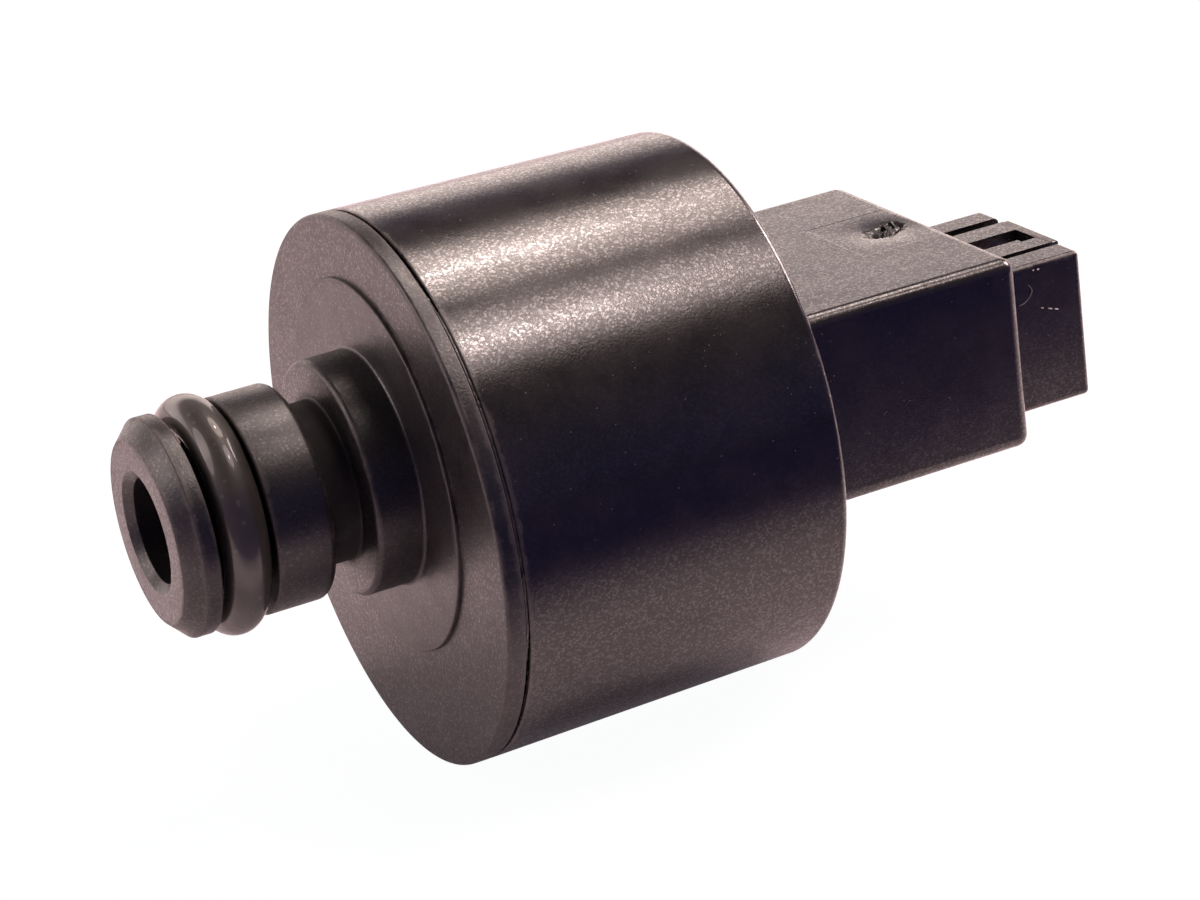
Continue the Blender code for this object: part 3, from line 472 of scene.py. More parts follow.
def filled_nylon(name, round_edges, box_edges, gloss, grain_size, grain_depth, wave_share, sparkle,
                 shaded_grooves=(), darkened_patches=()):
    """Black glass-filled nylon: grain, flecks, mottling, worn edges lightened partly as painted highlight,
    painted shade in grooves, and darker duller patches.
    """
    made, tree, shader, place = new_material(name)
    grain = place_group(tree, grain_group, {
        "Vector": place, "Grain Size": grain_size, "Wave Size": 0.0042, "Wave Share": wave_share})
    flecks = place_group(tree, fleck_group, {"Vector": place, "Fleck Size": 0.00011, "Amount": 0.006})
    cloud = clouds(tree, place, 420.0, 5.0, 0.6)
    tone = rise(tree, cloud, 0.30, 0.72)
    colour = mix_colours(tree, tone, (0.0100, 0.0088, 0.0100, 1), (0.0165, 0.0140, 0.0148, 1))
    distance = None
    for centre, x, radius in round_edges:
        reach = place_group(tree, round_edge_group, {
            "Vector": place, "Centre Z": centre * MM, "Edge X": x * MM,
            "Edge Radius": radius * MM})["Distance"]
        distance = reach if distance is None else calculate(tree, "MINIMUM", distance, reach)
    for centre, half in box_edges:
        reach = place_group(tree, box_edge_group, {
            "Vector": place, "Centre": Vector(centre) * MM, "Half Size": Vector(half) * MM})["Distance"]
        distance = reach if distance is None else calculate(tree, "MINIMUM", distance, reach)
    wear_and_edge_sheen = place_group(tree, wear_and_sheen_group, {
        "Vector": place, "Distance": distance, "Width": 0.00042, "Patch Size": 0.0011})["Mask"]
    # Edges lighter grey: wear, and partly a painted highlight along the rims.
    colour = mix_colours(tree, times(tree, wear_and_edge_sheen, 0.55), colour, (0.085, 0.072, 0.068, 1))
    bare_fibre = times(tree, flecks["Mask"], 0.35)
    colour = mix_colours(tree, bare_fibre, colour, (0.34, 0.30, 0.29, 1))
    patchy = rise(tree, cloud, 0.25, 0.75, gloss - 0.035, gloss + 0.045)
    rough = calculate(tree, "MULTIPLY_ADD", grain["Grain"], 0.08, calculate(tree, "SUBTRACT", patchy, 0.04))
    rough = calculate(tree, "MULTIPLY_ADD", wear_and_edge_sheen, 0.12, rough, clamp=True)
    bump = relief(tree, grain["Height"], grain_depth)
    bits = add_node(tree, "TexVoronoi", {"Vector": place, "Scale": 8500.0}, feature="F1")
    glint = add_node(tree, "SeparateColor", {0: bits.outputs["Color"]}).outputs[0]
    glint = calculate(tree, "POWER", glint, 3.0)
    glint = times(tree, glint, rise(tree, bits.outputs["Distance"], 0.25, 0.60, 1.0, 0.2))
    glint = calculate(tree, "MULTIPLY", glint, sparkle, clamp=True)
    # Painted shade in the clip groove: a darker colour and a rougher, duller surface where the collar and
    # shank keep the light out.
    for x, radius, reach in shaded_grooves:
        near = place_group(tree, round_edge_group, {
            "Vector": place, "Centre Z": port_height * MM, "Edge X": x * MM,
            "Edge Radius": radius * MM})["Distance"]
        groove_shade = rise(tree, near, 0.8 * reach * MM, 1.1 * reach * MM, 1.0, 0.0)
        groove_shade = times(tree, groove_shade, rise(tree, cloud, 0.25, 0.45, 0.7, 1.0))
        colour = mix_colours(tree, groove_shade, colour, (0.009, 0.007, 0.006, 1))
        rough = calculate(tree, "MULTIPLY_ADD", groove_shade, 0.46, rough, clamp=True)
        glint = times(tree, glint, calculate(tree, "SUBTRACT", 1.0, groove_shade))
    # Darker, duller patches: colour darkened, surface roughened, fewer glints.
    for centre, half, strength in darkened_patches:
        apart = add_node(tree, "VectorMath", {0: place, 1: Vector(centre) * MM}, operation="SUBTRACT")
        apart = add_node(tree, "VectorMath", {0: apart, 1: Vector(half) * MM}, operation="DIVIDE")
        apart = add_node(tree, "VectorMath", {0: apart}, operation="LENGTH").outputs["Value"]
        apart = calculate(tree, "ADD", cloud, calculate(tree, "SUBTRACT", apart, 0.5))
        darker_patch = rise(tree, apart, 0.35, 1.20, strength, 0.0)
        colour = mix_colours(tree, darker_patch, colour, (0.006, 0.005, 0.006, 1))
        rough = calculate(tree, "MULTIPLY_ADD", darker_patch, 0.42, rough, clamp=True)
        glint = times(tree, glint, calculate(tree, "MULTIPLY_ADD", darker_patch, -0.8, 1.0))
    feed(tree, shader, {"Base Color": colour, "Roughness": rough, "Coat Weight": glint, "Normal": bump,
                        "Coat Roughness": 0.8 * gloss, "IOR": 1.55})
    return made


# The clip groove behind the shank is darkened as painted shade.
front_nylon = filled_nylon(
    "front_moulding_nylon",
    [(port_height, nose_tip, nose_face_radius), (port_height, land_front, land_radius),
     (port_height, groove_front, land_radius), (port_height, groove_rear, shank_radius),
     (port_height, shank_rear, shank_radius), (port_height, 0.0, collar_radius),
     (port_height, pad_face, pad_radius), (body_height, disc_face, body_radius),
     (body_height, seam_front, body_radius)],
    [], gloss=0.37, grain_size=0.00013, grain_depth=0.000010, wave_share=1.0, sparkle=1.0,
    shaded_grooves=((-0.95, neck_radius, 0.98),))
front_moulding.data.materials.clear()
front_moulding.data.materials.append(front_nylon)
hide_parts("front_housing")
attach(front_moulding, "housing")


# The sealing ring. A moulded rubber ring of round section, greased, that sits in the
# groove and has been pushed back against the groove's rear wall, not quite square.
def new_rule(name, inputs, takes_shape=False):
    """A geometry tree with named inputs (name, kind, value); also gives its input sockets' names."""
    tree = bpy.data.node_groups.new(name, "GeometryNodeTree")
    if takes_shape:
        tree.interface.new_socket(name="Geometry", in_out="INPUT", socket_type="NodeSocketGeometry")
    sockets = {}
    for label, kind, value in inputs:
        socket = tree.interface.new_socket(name=label, in_out="INPUT", socket_type="NodeSocket" + kind)
        if value is not None:
            socket.default_value = value
        sockets[label] = socket.identifier
    tree.interface.new_socket(name="Geometry", in_out="OUTPUT", socket_type="NodeSocketGeometry")
    entry = tree.nodes.new("NodeGroupInput")
    leaving = tree.nodes.new("NodeGroupOutput")
    return tree, sockets, entry.outputs, leaving.inputs


def shape_by_rule(piece, title, tree, sockets, values):
    """Put a geometry tree on a piece, set its inputs, and keep only the mesh it makes."""
    rule = piece.modifiers.new(title, "NODES")
    rule.node_group = tree
    for label, value in values.items():
        rule[sockets[label]] = value
    settle(piece)


def node_adder(tree):
    """Gives a function that adds nodes to one geometry tree: geometry, shader or function nodes."""
    def add(kind, inputs=None, **settings):
        made = tree.nodes.new(kind if kind.startswith(("Shader", "Function")) else "GeometryNode" + kind)
        for name, value in settings.items():
            setattr(made, name, value)
        feed(tree, made, inputs)
        return made
    return add


ring_tree, ring_sockets, ring_in, ring_leaving = new_rule("sealing_ring_sweep", (
    ("Ring Radius", "Float", 0.0049), ("Wire Radius", "Float", 0.0012), ("Place X", "Float", 0.0),
    ("Lean", "Float", 0.0), ("Rubber", "Material", None)))
ring_node = node_adder(ring_tree)
ring_path = ring_node("CurvePrimitiveCircle", {"Resolution": 220, "Radius": ring_in["Ring Radius"]})
wire_path = ring_node("CurvePrimitiveCircle", {"Resolution": 40, "Radius": ring_in["Wire Radius"]})
swept = ring_node("CurveToMesh", {"Curve": ring_path, "Profile Curve": wire_path})
lean = ring_node("ShaderNodeMath", {0: ring_in["Lean"], 1: 0.5 * pi}, operation="ADD")
ring_turn = ring_node("ShaderNodeCombineXYZ", {"Y": lean})
ring_place = ring_node("ShaderNodeCombineXYZ", {"X": ring_in["Place X"]})
stood = ring_node("Transform", {"Geometry": swept, "Rotation": ring_turn, "Translation": ring_place})
smoothed = ring_node("SetShadeSmooth", {"Geometry": stood})
real = ring_node("RealizeInstances", {"Geometry": smoothed})
coated = ring_node("SetMaterial", {"Geometry": real, "Material": ring_in["Rubber"]})
ring_tree.links.new(coated.outputs[0], ring_leaving[0])


def greased_rubber(name, gloss):
    """Black rubber with a thin uneven film of grease, fine dust and tiny moulding marks."""
    made, tree, shader, place = new_material(name)
    grain = place_group(tree, grain_group, {
        "Vector": place, "Grain Size": 0.00009, "Wave Size": 0.0024, "Wave Share": 2.5})
    dust = place_group(tree, fleck_group, {"Vector": place, "Fleck Size": 0.00030, "Amount": 0.035})["Mask"]
    smear = clouds(tree, place, 900.0, 4.0, 0.55)
    colour = mix_colours(tree, smear, (0.024, 0.021, 0.017, 1), (0.048, 0.041, 0.034, 1))
    colour = mix_colours(tree, times(tree, dust, 0.25), colour, (0.22, 0.20, 0.18, 1))
    rough = rise(tree, smear, 0.3, 0.7, gloss - 0.07, gloss + 0.10)
    film = rise(tree, grain["Wave"], 0.35, 0.65, 0.45, 1.0)
    bump = relief(tree, grain["Height"], 0.000006)
    feed(tree, shader, {"Base Color": colour, "Roughness": rough, "Coat Weight": film, "Normal": bump,
                        "Coat Roughness": 0.05})
    return made


ring_wire = 1.17
ring_centre = 4.94
ring_gap = 0.17
ring_lean = 1.3
sealing_ring = add_object("sealing_ring", bpy.data.meshes.new("sealing_ring"))
ring_rubber = greased_rubber("greased_black_rubber", 0.46)
shape_by_rule(sealing_ring, "ring swept round its groove", ring_tree, ring_sockets, {
    "Ring Radius": ring_centre * MM, "Wire Radius": ring_wire * MM,
    "Place X": (groove_rear - ring_gap - ring_wire) * MM, "Lean": radians(ring_lean), "Rubber": ring_rubber})
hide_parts("o_ring")
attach(sealing_ring, "housing")


# The rear moulding. Round cup, square block and connector shroud in one moulding of the
# same nylon, with the sprung latch tongue, its two slots and its window cut through the
# shroud's top. It is welded on round the disc, which leaves a thin ragged seam.
cup_front = 3.85
cup_inside = 12.55
cup_back_radius = 14.09
cup_floor = 19.80
back_face = 21.60
block_start = 20.70
block_end = 35.40
block_half_width = 8.90
block_bottom = -5.79
block_top = 4.56
cavity = ((19.79, -7.40, -4.74), (33.80, 7.40, 3.06))
shroud_start = 34.60
shroud_end = 41.72
shroud_half_width = 4.85
shroud_bottom = -5.76
shroud_top = 2.35
shroud_wall = 1.10
latch_half_width = 2.42
latch_slot = 0.68
latch_drop = 0.06
window_half = 0.78
window_start = block_end + 0.50
bridge_start = shroud_end - 0.35
bridge_end = shroud_end + 0.25
bridge_rise = -0.05
pin_height = 0.5 * (shroud_bottom + shroud_top)
pin_spacing = 2.5
pin_hole_half = 0.40
rail_bottom = -5.26
rail_top = -4.39


def rounded_bar(name, low, high, rounding=0.0, open_end=None, steps=5):
    """A bar in millimetres with rounded edges; those at the open end stay square."""
    form = bmesh.new()
    add_bar(form, low, high)
    if rounding > 0.0:
        kept = [edge for edge in form.edges
                if open_end is None or max(vert.co.x for vert in edge.verts) > (open_end + 0.01) * MM]
        bmesh.ops.bevel(form, geom=kept, offset=rounding * MM, segments=steps, profile=0.5,
                        affect="EDGES", clamp_overlap=True)
    bmesh.ops.recalc_face_normals(form, faces=form.faces[:])
    return make_piece(name, form)


tools = []


def work(target, tool, operation):
    step = target.modifiers.new(tool.name, "BOOLEAN")
    step.operation = operation
    step.solver = "EXACT"
    step.object = tool
    tools.append(tool)


cup_corners = [
    (cup_floor, 8.0, 0.0),
    (cup_floor, cup_inside, 0.40),
    (cup_front, cup_inside, 0.10),
    (cup_front, body_radius, 0.07),
    (back_face, cup_back_radius, 0.45),
    (back_face, 8.0, 0.0),
]
cup_rings = [(cup_floor, 0.0, body_height)]
cup_rings += [(point.x, point.y, body_height) for point in rounded(cup_corners)]
cup_rings += [(back_face, 0.0, body_height)]
rear_moulding = make_piece("rear_moulding", skin_rings(cup_rings, 240, closed=False))
rib_form = bmesh.new()
for rib in range(6):
    add_bar(rib_form, (8.75, -0.6, cup_inside - 1.3), (15.80, 0.6, cup_inside + 0.7),
            radians(60.0 * rib), body_height)
work(rear_moulding, make_piece("cup_ribs_form", rib_form), "UNION")


def join_bar(*bar):
    work(rear_moulding, rounded_bar(*bar), "UNION")


def cut_bar(*bar):
    work(rear_moulding, rounded_bar(*bar), "DIFFERENCE")


join_bar("block_form", (block_start, -block_half_width, block_bottom),
         (block_end, block_half_width, block_top), 0.70, block_start)
join_bar("shroud_form", (shroud_start, -shroud_half_width, shroud_bottom),
         (shroud_end, shroud_half_width, shroud_top), 0.30, shroud_start)
cut_bar("cavity_tool", *cavity)
socket_half = shroud_half_width - shroud_wall
cut_bar("socket_tool", (block_end, -socket_half, shroud_bottom + shroud_wall),
        (shroud_end + 1.0, socket_half, shroud_top - shroud_wall), 0.15)
slot_outer = latch_half_width + latch_slot
cut_bar("latch_drop_tool", (block_end + 0.01, -slot_outer + 0.3, shroud_top - latch_drop),
        (shroud_end + 1.0, slot_outer - 0.3, shroud_top + 2.0))
for side in (-1.0, 1.0):
    edges = sorted((side * latch_half_width, side * slot_outer))
    cut_bar("latch_slot_tool" + str(int(side)), (block_end + 0.01, edges[0], 0.6),
            (shroud_end + 1.0, edges[1], shroud_top + 2.0))
bridge_form = bmesh.new()
add_bar(bridge_form, (bridge_start, -latch_half_width, shroud_top - shroud_wall),
        (bridge_end, latch_half_width, shroud_top + bridge_rise))
bridge_edges = [edge for edge in bridge_form.edges
                if all(vert.co.z > (shroud_top - 0.5) * MM for vert in edge.verts)]
bmesh.ops.bevel(bridge_form, geom=bridge_edges, offset=0.12 * MM, segments=4, profile=0.5, affect="EDGES")
bmesh.ops.recalc_face_normals(bridge_form, faces=bridge_form.faces[:])
work(rear_moulding, make_piece("bridge_form", bridge_form), "UNION")
cut_bar("window_tool", (window_start, -window_half, 0.6), (bridge_start, window_half, shroud_top + 2.0))
cut_bar("notch_tool", (bridge_start - 0.9, -window_half - 0.40, 0.6),
        (bridge_start, -0.5 * window_half, shroud_top + 2.0))
for pin in range(3):
    across = pin_spacing * (pin - 1)
    cut_bar("pin_hole_tool" + str(pin),
            (cavity[1][0] - 0.01, across - pin_hole_half, pin_height - pin_hole_half),
            (block_end + 0.1, across + pin_hole_half, pin_height + pin_hole_half))
rail_form = bmesh.new()
for low_side, high_side in ((-8.15, -5.40), (5.40, 8.15)):
    add_bar(rail_form, (block_start, low_side, rail_bottom), (shroud_start, high_side, rail_top))
work(rear_moulding, make_piece("board_rails_form", rail_form), "UNION")

# The feed point. The sprue was torn off the middle of the block's top, which left a
# ragged pit in a shallow sink, with shards of plastic standing on its rim.
scar_middle = Vector((32.95, 0.30))
scar_along = Vector((0.945, 0.327))
scar_across = Vector((-0.327, 0.945))
scar_cells = 64
scar_half = 3.0
scar_form = bmesh.new()
scar_grid = []
for row in range(scar_cells + 1):
    line = []
    for column in range(scar_cells + 1):
        step = Vector((column, row)) * (2.0 * scar_half / scar_cells) - Vector((scar_half, scar_half))
        oval = Vector((step.dot(scar_along) / 1.32, step.dot(scar_across) / 0.88)).length
        spot = Vector((step.x, step.y, 0.0))
        ragged = oval + 0.38 * noise.fractal(spot * 1.5, 0.9, 2.1, 3)
        torn = max(0.0, min(1.0, (1.05 - ragged) / 0.36))
        pit = torn * (0.20 + 0.30 * noise.fractal(spot * 1.1 + Vector((7.0, 2.0, 1.0)), 1.0, 2.0, 2))
        fade = max(0.0, min(1.0, (scar_half - step.length) / 0.8))
        sink = 0.15 * exp(-(step.length / 1.45) ** 2) * fade
        depth = 0.002 + sink + max(0.0, pit)
        at = scar_middle + step
        line.append(scar_form.verts.new(Vector((at.x, at.y, block_top - depth)) * MM))
    scar_grid.append(line)
for near_row, far_row in zip(scar_grid, scar_grid[1:]):
    for place in range(scar_cells):
        scar_form.faces.new((near_row[place], near_row[place + 1], far_row[place + 1], far_row[place]))
rim_edges = [edge for edge in scar_form.edges if edge.is_boundary]
raised = bmesh.ops.extrude_edge_only(scar_form, edges=rim_edges)["geom"]
raised_verts = [part for part in raised if isinstance(part, bmesh.types.BMVert)]
for vert in raised_verts:
    vert.co.z = (block_top + 0.6) * MM
bmesh.ops.holes_fill(scar_form, edges=[edge for edge in scar_form.edges if edge.is_boundary])
bmesh.ops.recalc_face_normals(scar_form, faces=scar_form.faces[:])
work(rear_moulding, make_piece("feed_point_tool", scar_form), "DIFFERENCE")
shard_form = bmesh.new()
for x, y, size, height, lean_x, lean_y in (
        (34.02, 0.85, 0.42, 0.26, -0.42, -0.22), (33.45, 1.00, 0.34, 0.12, -0.30, -0.30),
        (33.30, 0.25, 0.30, 0.02, 0.16, 0.20), (32.55, 0.10, 0.28, -0.04, 0.22, -0.12)):
    base = [(size * cos(turn) * (1.25 if step % 2 else 0.8), size * sin(turn) * (0.6 if step % 3 else 1.1))
            for step, turn in enumerate(radians(72.0 * count) for count in range(5))]
    low = [shard_form.verts.new(Vector((x + a, y + b, block_top - 0.55)) * MM) for a, b in base]
    high = [shard_form.verts.new(Vector((x + lean_x + 0.45 * a, y + lean_y + 0.35 * b,
                                         block_top + height * (0.45 + 0.4 * (place % 2)))) * MM)
            for place, (a, b) in enumerate(base)]
    shard_form.faces.new(low)
    shard_form.faces.new(high)
    for place in range(5):
        after = (place + 1) % 5
        shard_form.faces.new((low[place], low[after], high[after], high[place]))
bmesh.ops.triangulate(shard_form, faces=shard_form.faces[:])
bmesh.ops.recalc_face_normals(shard_form, faces=shard_form.faces[:])
work(rear_moulding, make_piece("feed_point_shards", shard_form), "UNION")
settle(rear_moulding)
for tool in tools:
    bpy.data.objects.remove(tool, do_unlink=True)
soften = rear_moulding.modifiers.new("edges as they leave the mould", "BEVEL")
soften.width = 0.05 * MM
soften.segments = 2
soften.limit_method = "ANGLE"
soften.angle_limit = radians(50.0)
soften.harden_normals = False
soften.use_clamp_overlap = True
settle(rear_moulding)
shade(rear_moulding)


def box_between(start, end, half_width, bottom, top):
    """A box's centre and half size, for the wear and painted highlight along its edges."""
    centre = (0.5 * (start + end), 0.0, 0.5 * (bottom + top))
    return centre, (0.5 * (end - start), half_width, 0.5 * (top - bottom))


# The feed point's torn pit is darker and duller.
rear_nylon = filled_nylon(
    "rear_moulding_nylon",
    [(body_height, cup_front, body_radius), (body_height, back_face, cup_back_radius)],
    [box_between(10.0, block_end, block_half_width, block_bottom, block_top),
     box_between(30.0, shroud_end, shroud_half_width, shroud_bottom, shroud_top)],
    gloss=0.20, grain_size=0.000105, grain_depth=0.0000058, wave_share=6.5, sparkle=2.6,
    darkened_patches=(((32.95, 0.30, 4.30), (1.25, 0.9, 0.5), 0.6),))
rear_moulding.data.materials.clear()
rear_moulding.data.materials.append(rear_nylon)
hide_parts("rear_housing")
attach(rear_moulding, "housing")


# Weld crumbs. Where the cup was welded to the disc a little plastic was squeezed out. It
# sits in the seam as an uneven bead, pushed out far enough to fill the seam on both
# sides and low in it at the top, and as broken crumbs, most of them at one spot.
crumb_size = 0.08
bead_thickness = 0.11
bead_push = 0.24
seam_depth = 0.40
crumb_tree, crumb_sockets, crumb_in, crumb_leaving = new_rule("weld_crumbs_along_seam", (
    ("Seam Radius", "Float", 0.01405), ("Seam X", "Float", 0.00375), ("Centre Z", "Float", 0.0),
    ("Places", "Int", 1500), ("Seed", "Int", 4), ("Spot", "Vector", (0.0, 0.0, 0.0)),
    ("Plastic", "Material", None)))
crumb_node = node_adder(crumb_tree)


def draw(low, high):
    """A random vector for each crumb."""
    return crumb_node("FunctionNodeRandomValue", {0: low, 1: high, "Seed": crumb_in["Seed"]},
                      data_type="FLOAT_VECTOR")


seam_line = crumb_node("CurvePrimitiveCircle", {"Resolution": 256, "Radius": crumb_in["Seam Radius"]})
seam_turn = crumb_node("ShaderNodeCombineXYZ", {"Y": 0.5 * pi})
seam_at = crumb_node("ShaderNodeCombineXYZ", {"X": crumb_in["Seam X"], "Z": crumb_in["Centre Z"]})
seam_stood = crumb_node("Transform", {
    "Geometry": seam_line, "Rotation": seam_turn, "Translation": seam_at})
seam_points = crumb_node("CurveToPoints", {"Curve": seam_stood, "Count": crumb_in["Places"]})
stray = Vector((0.00008, 0.00012, 0.00012))
jitter = draw(-stray, stray)
loose = crumb_node("SetPosition", {"Geometry": seam_points, "Offset": jitter})
here = crumb_node("InputPosition")
uneven = crumb_node("ShaderNodeTexNoise", {"Vector": here, "Scale": 650.0, "Detail": 3.0})
from_spot = crumb_node("ShaderNodeVectorMath", {0: here, 1: crumb_in["Spot"]}, operation="DISTANCE")
at_spot = crumb_node("ShaderNodeMapRange", {
    "Value": from_spot.outputs["Value"], "From Min": 0.0004, "From Max": 0.0022, "To Min": 0.55,
    "To Max": 0.0})
likely = crumb_node("ShaderNodeMath", {0: uneven, 1: at_spot}, operation="ADD")
luck = crumb_node("FunctionNodeRandomValue", {2: 0.42, 3: 1.05, "Seed": crumb_in["Seed"]},
                  data_type="FLOAT")
kept = crumb_node("ShaderNodeMath", {0: likely, 1: luck.outputs[1]}, operation="GREATER_THAN")
size = draw((0.3, 0.3, 0.3), (1.3, 1.0, 1.3))
any_way = draw((0.0, 0.0, 0.0), (6.28, 6.28, 6.28))
crumb = crumb_node("MeshIcoSphere", {"Radius": crumb_size * MM, "Subdivisions": 1})
crumbs = crumb_node("InstanceOnPoints", {
    "Points": loose, "Selection": kept, "Instance": crumb, "Rotation": any_way, "Scale": size})
bead_fine = crumb_node("ResampleCurve", {"Curve": seam_stood, "Count": 1400})
bead_uneven = crumb_node("ShaderNodeTexNoise", {"Vector": here, "Scale": 1900.0, "Detail": 4.0})
bead_height = crumb_node("ShaderNodeSeparateXYZ", {0: here})
shut_below = crumb_node("ShaderNodeMapRange", {
    "Value": bead_height.outputs["Z"], "From Min": -0.0075, "From Max": -0.0045})
shut_above = crumb_node("ShaderNodeMapRange", {
    "Value": bead_height.outputs["Z"], "From Min": 0.0112, "From Max": 0.0092})
shut = crumb_node("ShaderNodeMath", {0: shut_below, 1: shut_above}, operation="MULTIPLY")
swollen = crumb_node("ShaderNodeMapRange", {
    "Value": bead_uneven, "From Min": 0.3, "From Max": 0.7, "To Min": -0.00003, "To Max": 0.00003})
reach = crumb_node("ShaderNodeMath", {0: shut, 1: bead_push * MM, 2: swollen}, operation="MULTIPLY_ADD")
spoke = crumb_node("ShaderNodeVectorMath", {0: here, 1: seam_at}, operation="SUBTRACT")
outward = crumb_node("ShaderNodeVectorMath", {0: spoke}, operation="NORMALIZE")
pushed = crumb_node("ShaderNodeVectorMath", {0: outward, "Scale": reach}, operation="SCALE")
bead_line = crumb_node("SetPosition", {"Geometry": bead_fine, "Offset": pushed})
bead_section = crumb_node("CurvePrimitiveCircle", {"Resolution": 8, "Radius": bead_thickness * MM})
bead = crumb_node("CurveToMesh", {"Curve": bead_line, "Profile Curve": bead_section})
both_forms = crumb_node("JoinGeometry")
crumb_tree.links.new(crumbs.outputs[0], both_forms.inputs[0])
crumb_tree.links.new(bead.outputs[0], both_forms.inputs[0])
crumbs_real = crumb_node("RealizeInstances", {"Geometry": both_forms})
crumbs_coated = crumb_node("SetMaterial", {"Geometry": crumbs_real, "Material": crumb_in["Plastic"]})
crumb_tree.links.new(crumbs_coated.outputs[0], crumb_leaving[0])

weld_crumbs = add_object("weld_crumbs", bpy.data.meshes.new("weld_crumbs"))
crumb_nylon = filled_nylon(
    "weld_crumb_nylon", [(body_height, cup_front, body_radius)], [],
    gloss=0.26, grain_size=0.00013, grain_depth=0.000006, wave_share=0.5, sparkle=2.0)
shape_by_rule(weld_crumbs, "crumbs strewn along the seam", crumb_tree, crumb_sockets, {
    "Seam Radius": (body_radius - seam_depth) * MM, "Seam X": 0.5 * (seam_front + cup_front) * MM,
    "Centre Z": body_height * MM, "Places": 1500, "Seed": 4,
    "Spot": (3.75 * MM, -7.1 * MM, 10.6 * MM), "Plastic": crumb_nylon})
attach(weld_crumbs, "housing")


# Lint. A curled textile fibre and a few short white ends cling to the near side of the
# shroud, and a pale sliver of flash hangs in the front of the sealing groove.
lint_tree, lint_sockets, lint_in, lint_leaving = new_rule("fibre_along_path", (
    ("Thickness", "Float", 0.00002), ("Fibre", "Material", None)), takes_shape=True)
lint_node = node_adder(lint_tree)
fibre_path = lint_node("MeshToCurve", {"Mesh": lint_in["Geometry"]})
fibre_bent = lint_node("CurveSplineType", {"Curve": fibre_path}, spline_type="CATMULL_ROM")
fibre_fine = lint_node("ResampleCurve", {"Curve": fibre_bent, "Count": 24})
fibre_round = lint_node("CurvePrimitiveCircle", {"Resolution": 6, "Radius": lint_in["Thickness"]})
fibre_skin = lint_node("CurveToMesh", {
    "Curve": fibre_fine, "Profile Curve": fibre_round, "Fill Caps": True})
fibre_smooth = lint_node("SetShadeSmooth", {"Geometry": fibre_skin})
fibre_real = lint_node("RealizeInstances", {"Geometry": fibre_smooth})
fibre_coated = lint_node("SetMaterial", {"Geometry": fibre_real, "Material": lint_in["Fibre"]})
lint_tree.links.new(fibre_coated.outputs[0], lint_leaving[0])


def pale_fibre(name, light, dark):
    """Undyed fibre or stretched plastic, with uneven tone and a faint uneven surface."""
    made, tree, shader, place = new_material(name)
    tone = clouds(tree, place, 6000.0, 3.0, 0.6)
    colour = mix_colours(tree, tone, (*dark, 1), (*light, 1))
    rough = rise(tree, tone, 0.3, 0.7, 0.45, 0.65)
    feed(tree, shader, {"Base Color": colour, "Roughness": rough, "Normal": relief(tree, tone, 0.000004)})
    return made


def lay_fibres(name, paths, thickness, finish):
    """Fibres through points in millimetres, all of one thickness."""
    form = bmesh.new()
    for path in paths:
        verts = [form.verts.new(Vector(point) * MM) for point in path]
        for first, second in zip(verts, verts[1:]):
            form.edges.new((first, second))
    laid = make_piece(name, form)
    shape_by_rule(laid, "fibre skinned along its path", lint_tree, lint_sockets,
                  {"Thickness": thickness * MM, "Fibre": finish})
    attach(laid, "housing")
    return laid


lint_side = -shroud_half_width - 0.03
lay_fibres("lint_fibre", [
    [(38.39, lint_side, 1.30), (38.56, lint_side - 0.05, 1.02), (38.50, lint_side - 0.03, 0.78),
     (38.28, lint_side, 0.50), (38.02, lint_side - 0.04, 0.38), (37.74, lint_side, 0.30)]],
    0.018, pale_fibre("grey_lint", (0.42, 0.40, 0.38), (0.25, 0.23, 0.22)))
lay_fibres("lint_ends", [
    [(39.08, lint_side, -0.16), (39.20, lint_side, -0.20)],
    [(39.50, lint_side, -0.30), (39.72, lint_side, -0.38)],
    [(39.90, lint_side, -0.44), (40.10, lint_side, -0.50)],
    [(38.74, lint_side, 2.02), (38.80, lint_side, 2.03)],
    [(39.02, lint_side, 2.00), (39.12, lint_side, 2.00)]],
    0.030, pale_fibre("white_lint", (0.90, 0.86, 0.80), (0.70, 0.66, 0.62)))
sliver_radius = 5.48
sliver_path = [(-7.93, -sliver_radius * sin(radians(turned)), sliver_radius * cos(radians(turned)))
               for turned in (14.0, 18.0, 22.0, 26.0)]
lay_fibres("groove_sliver", [sliver_path],
    0.055, pale_fibre("stretched_flash", (0.30, 0.26, 0.24), (0.16, 0.13, 0.12)))


# What is out of sight keeps its solid from the frame and gets its own finish: steel,
# brass, nickel, acetal, rubber and epoxy, and the board with its small chips.
guide_nylon = filled_nylon(
    "guide_frame_nylon", [(body_height, 7.4, 12.15)], [],
    gloss=0.45, grain_size=0.00013, grain_depth=0.000008, wave_share=0.5, sparkle=0.5)
diaphragm_rubber = greased_rubber("diaphragm_rubber", 0.45)


def bare_metal(name, light, dark, gloss, streak, depth):
    """Metal with a drawn or rolled grain, small stains and tarnish."""
    made, tree, shader, place = new_material(name)
    stretch = add_node(tree, "Mapping", {"Vector": place, "Scale": streak}).outputs[0]
    lines = clouds(tree, stretch, 1.0, 4.0, 0.6)
    tone = rise(tree, clouds(tree, place, 700.0, 4.0, 0.6), 0.30, 0.70)
    colour = mix_colours(tree, tone, (*dark, 1), (*light, 1))
    rough = calculate(tree, "MULTIPLY_ADD", lines, 0.20, gloss - 0.10, clamp=True)
    feed(tree, shader, {"Base Color": colour, "Roughness": rough, "Normal": relief(tree, lines, depth),
                        "Metallic": 1.0})
    return made


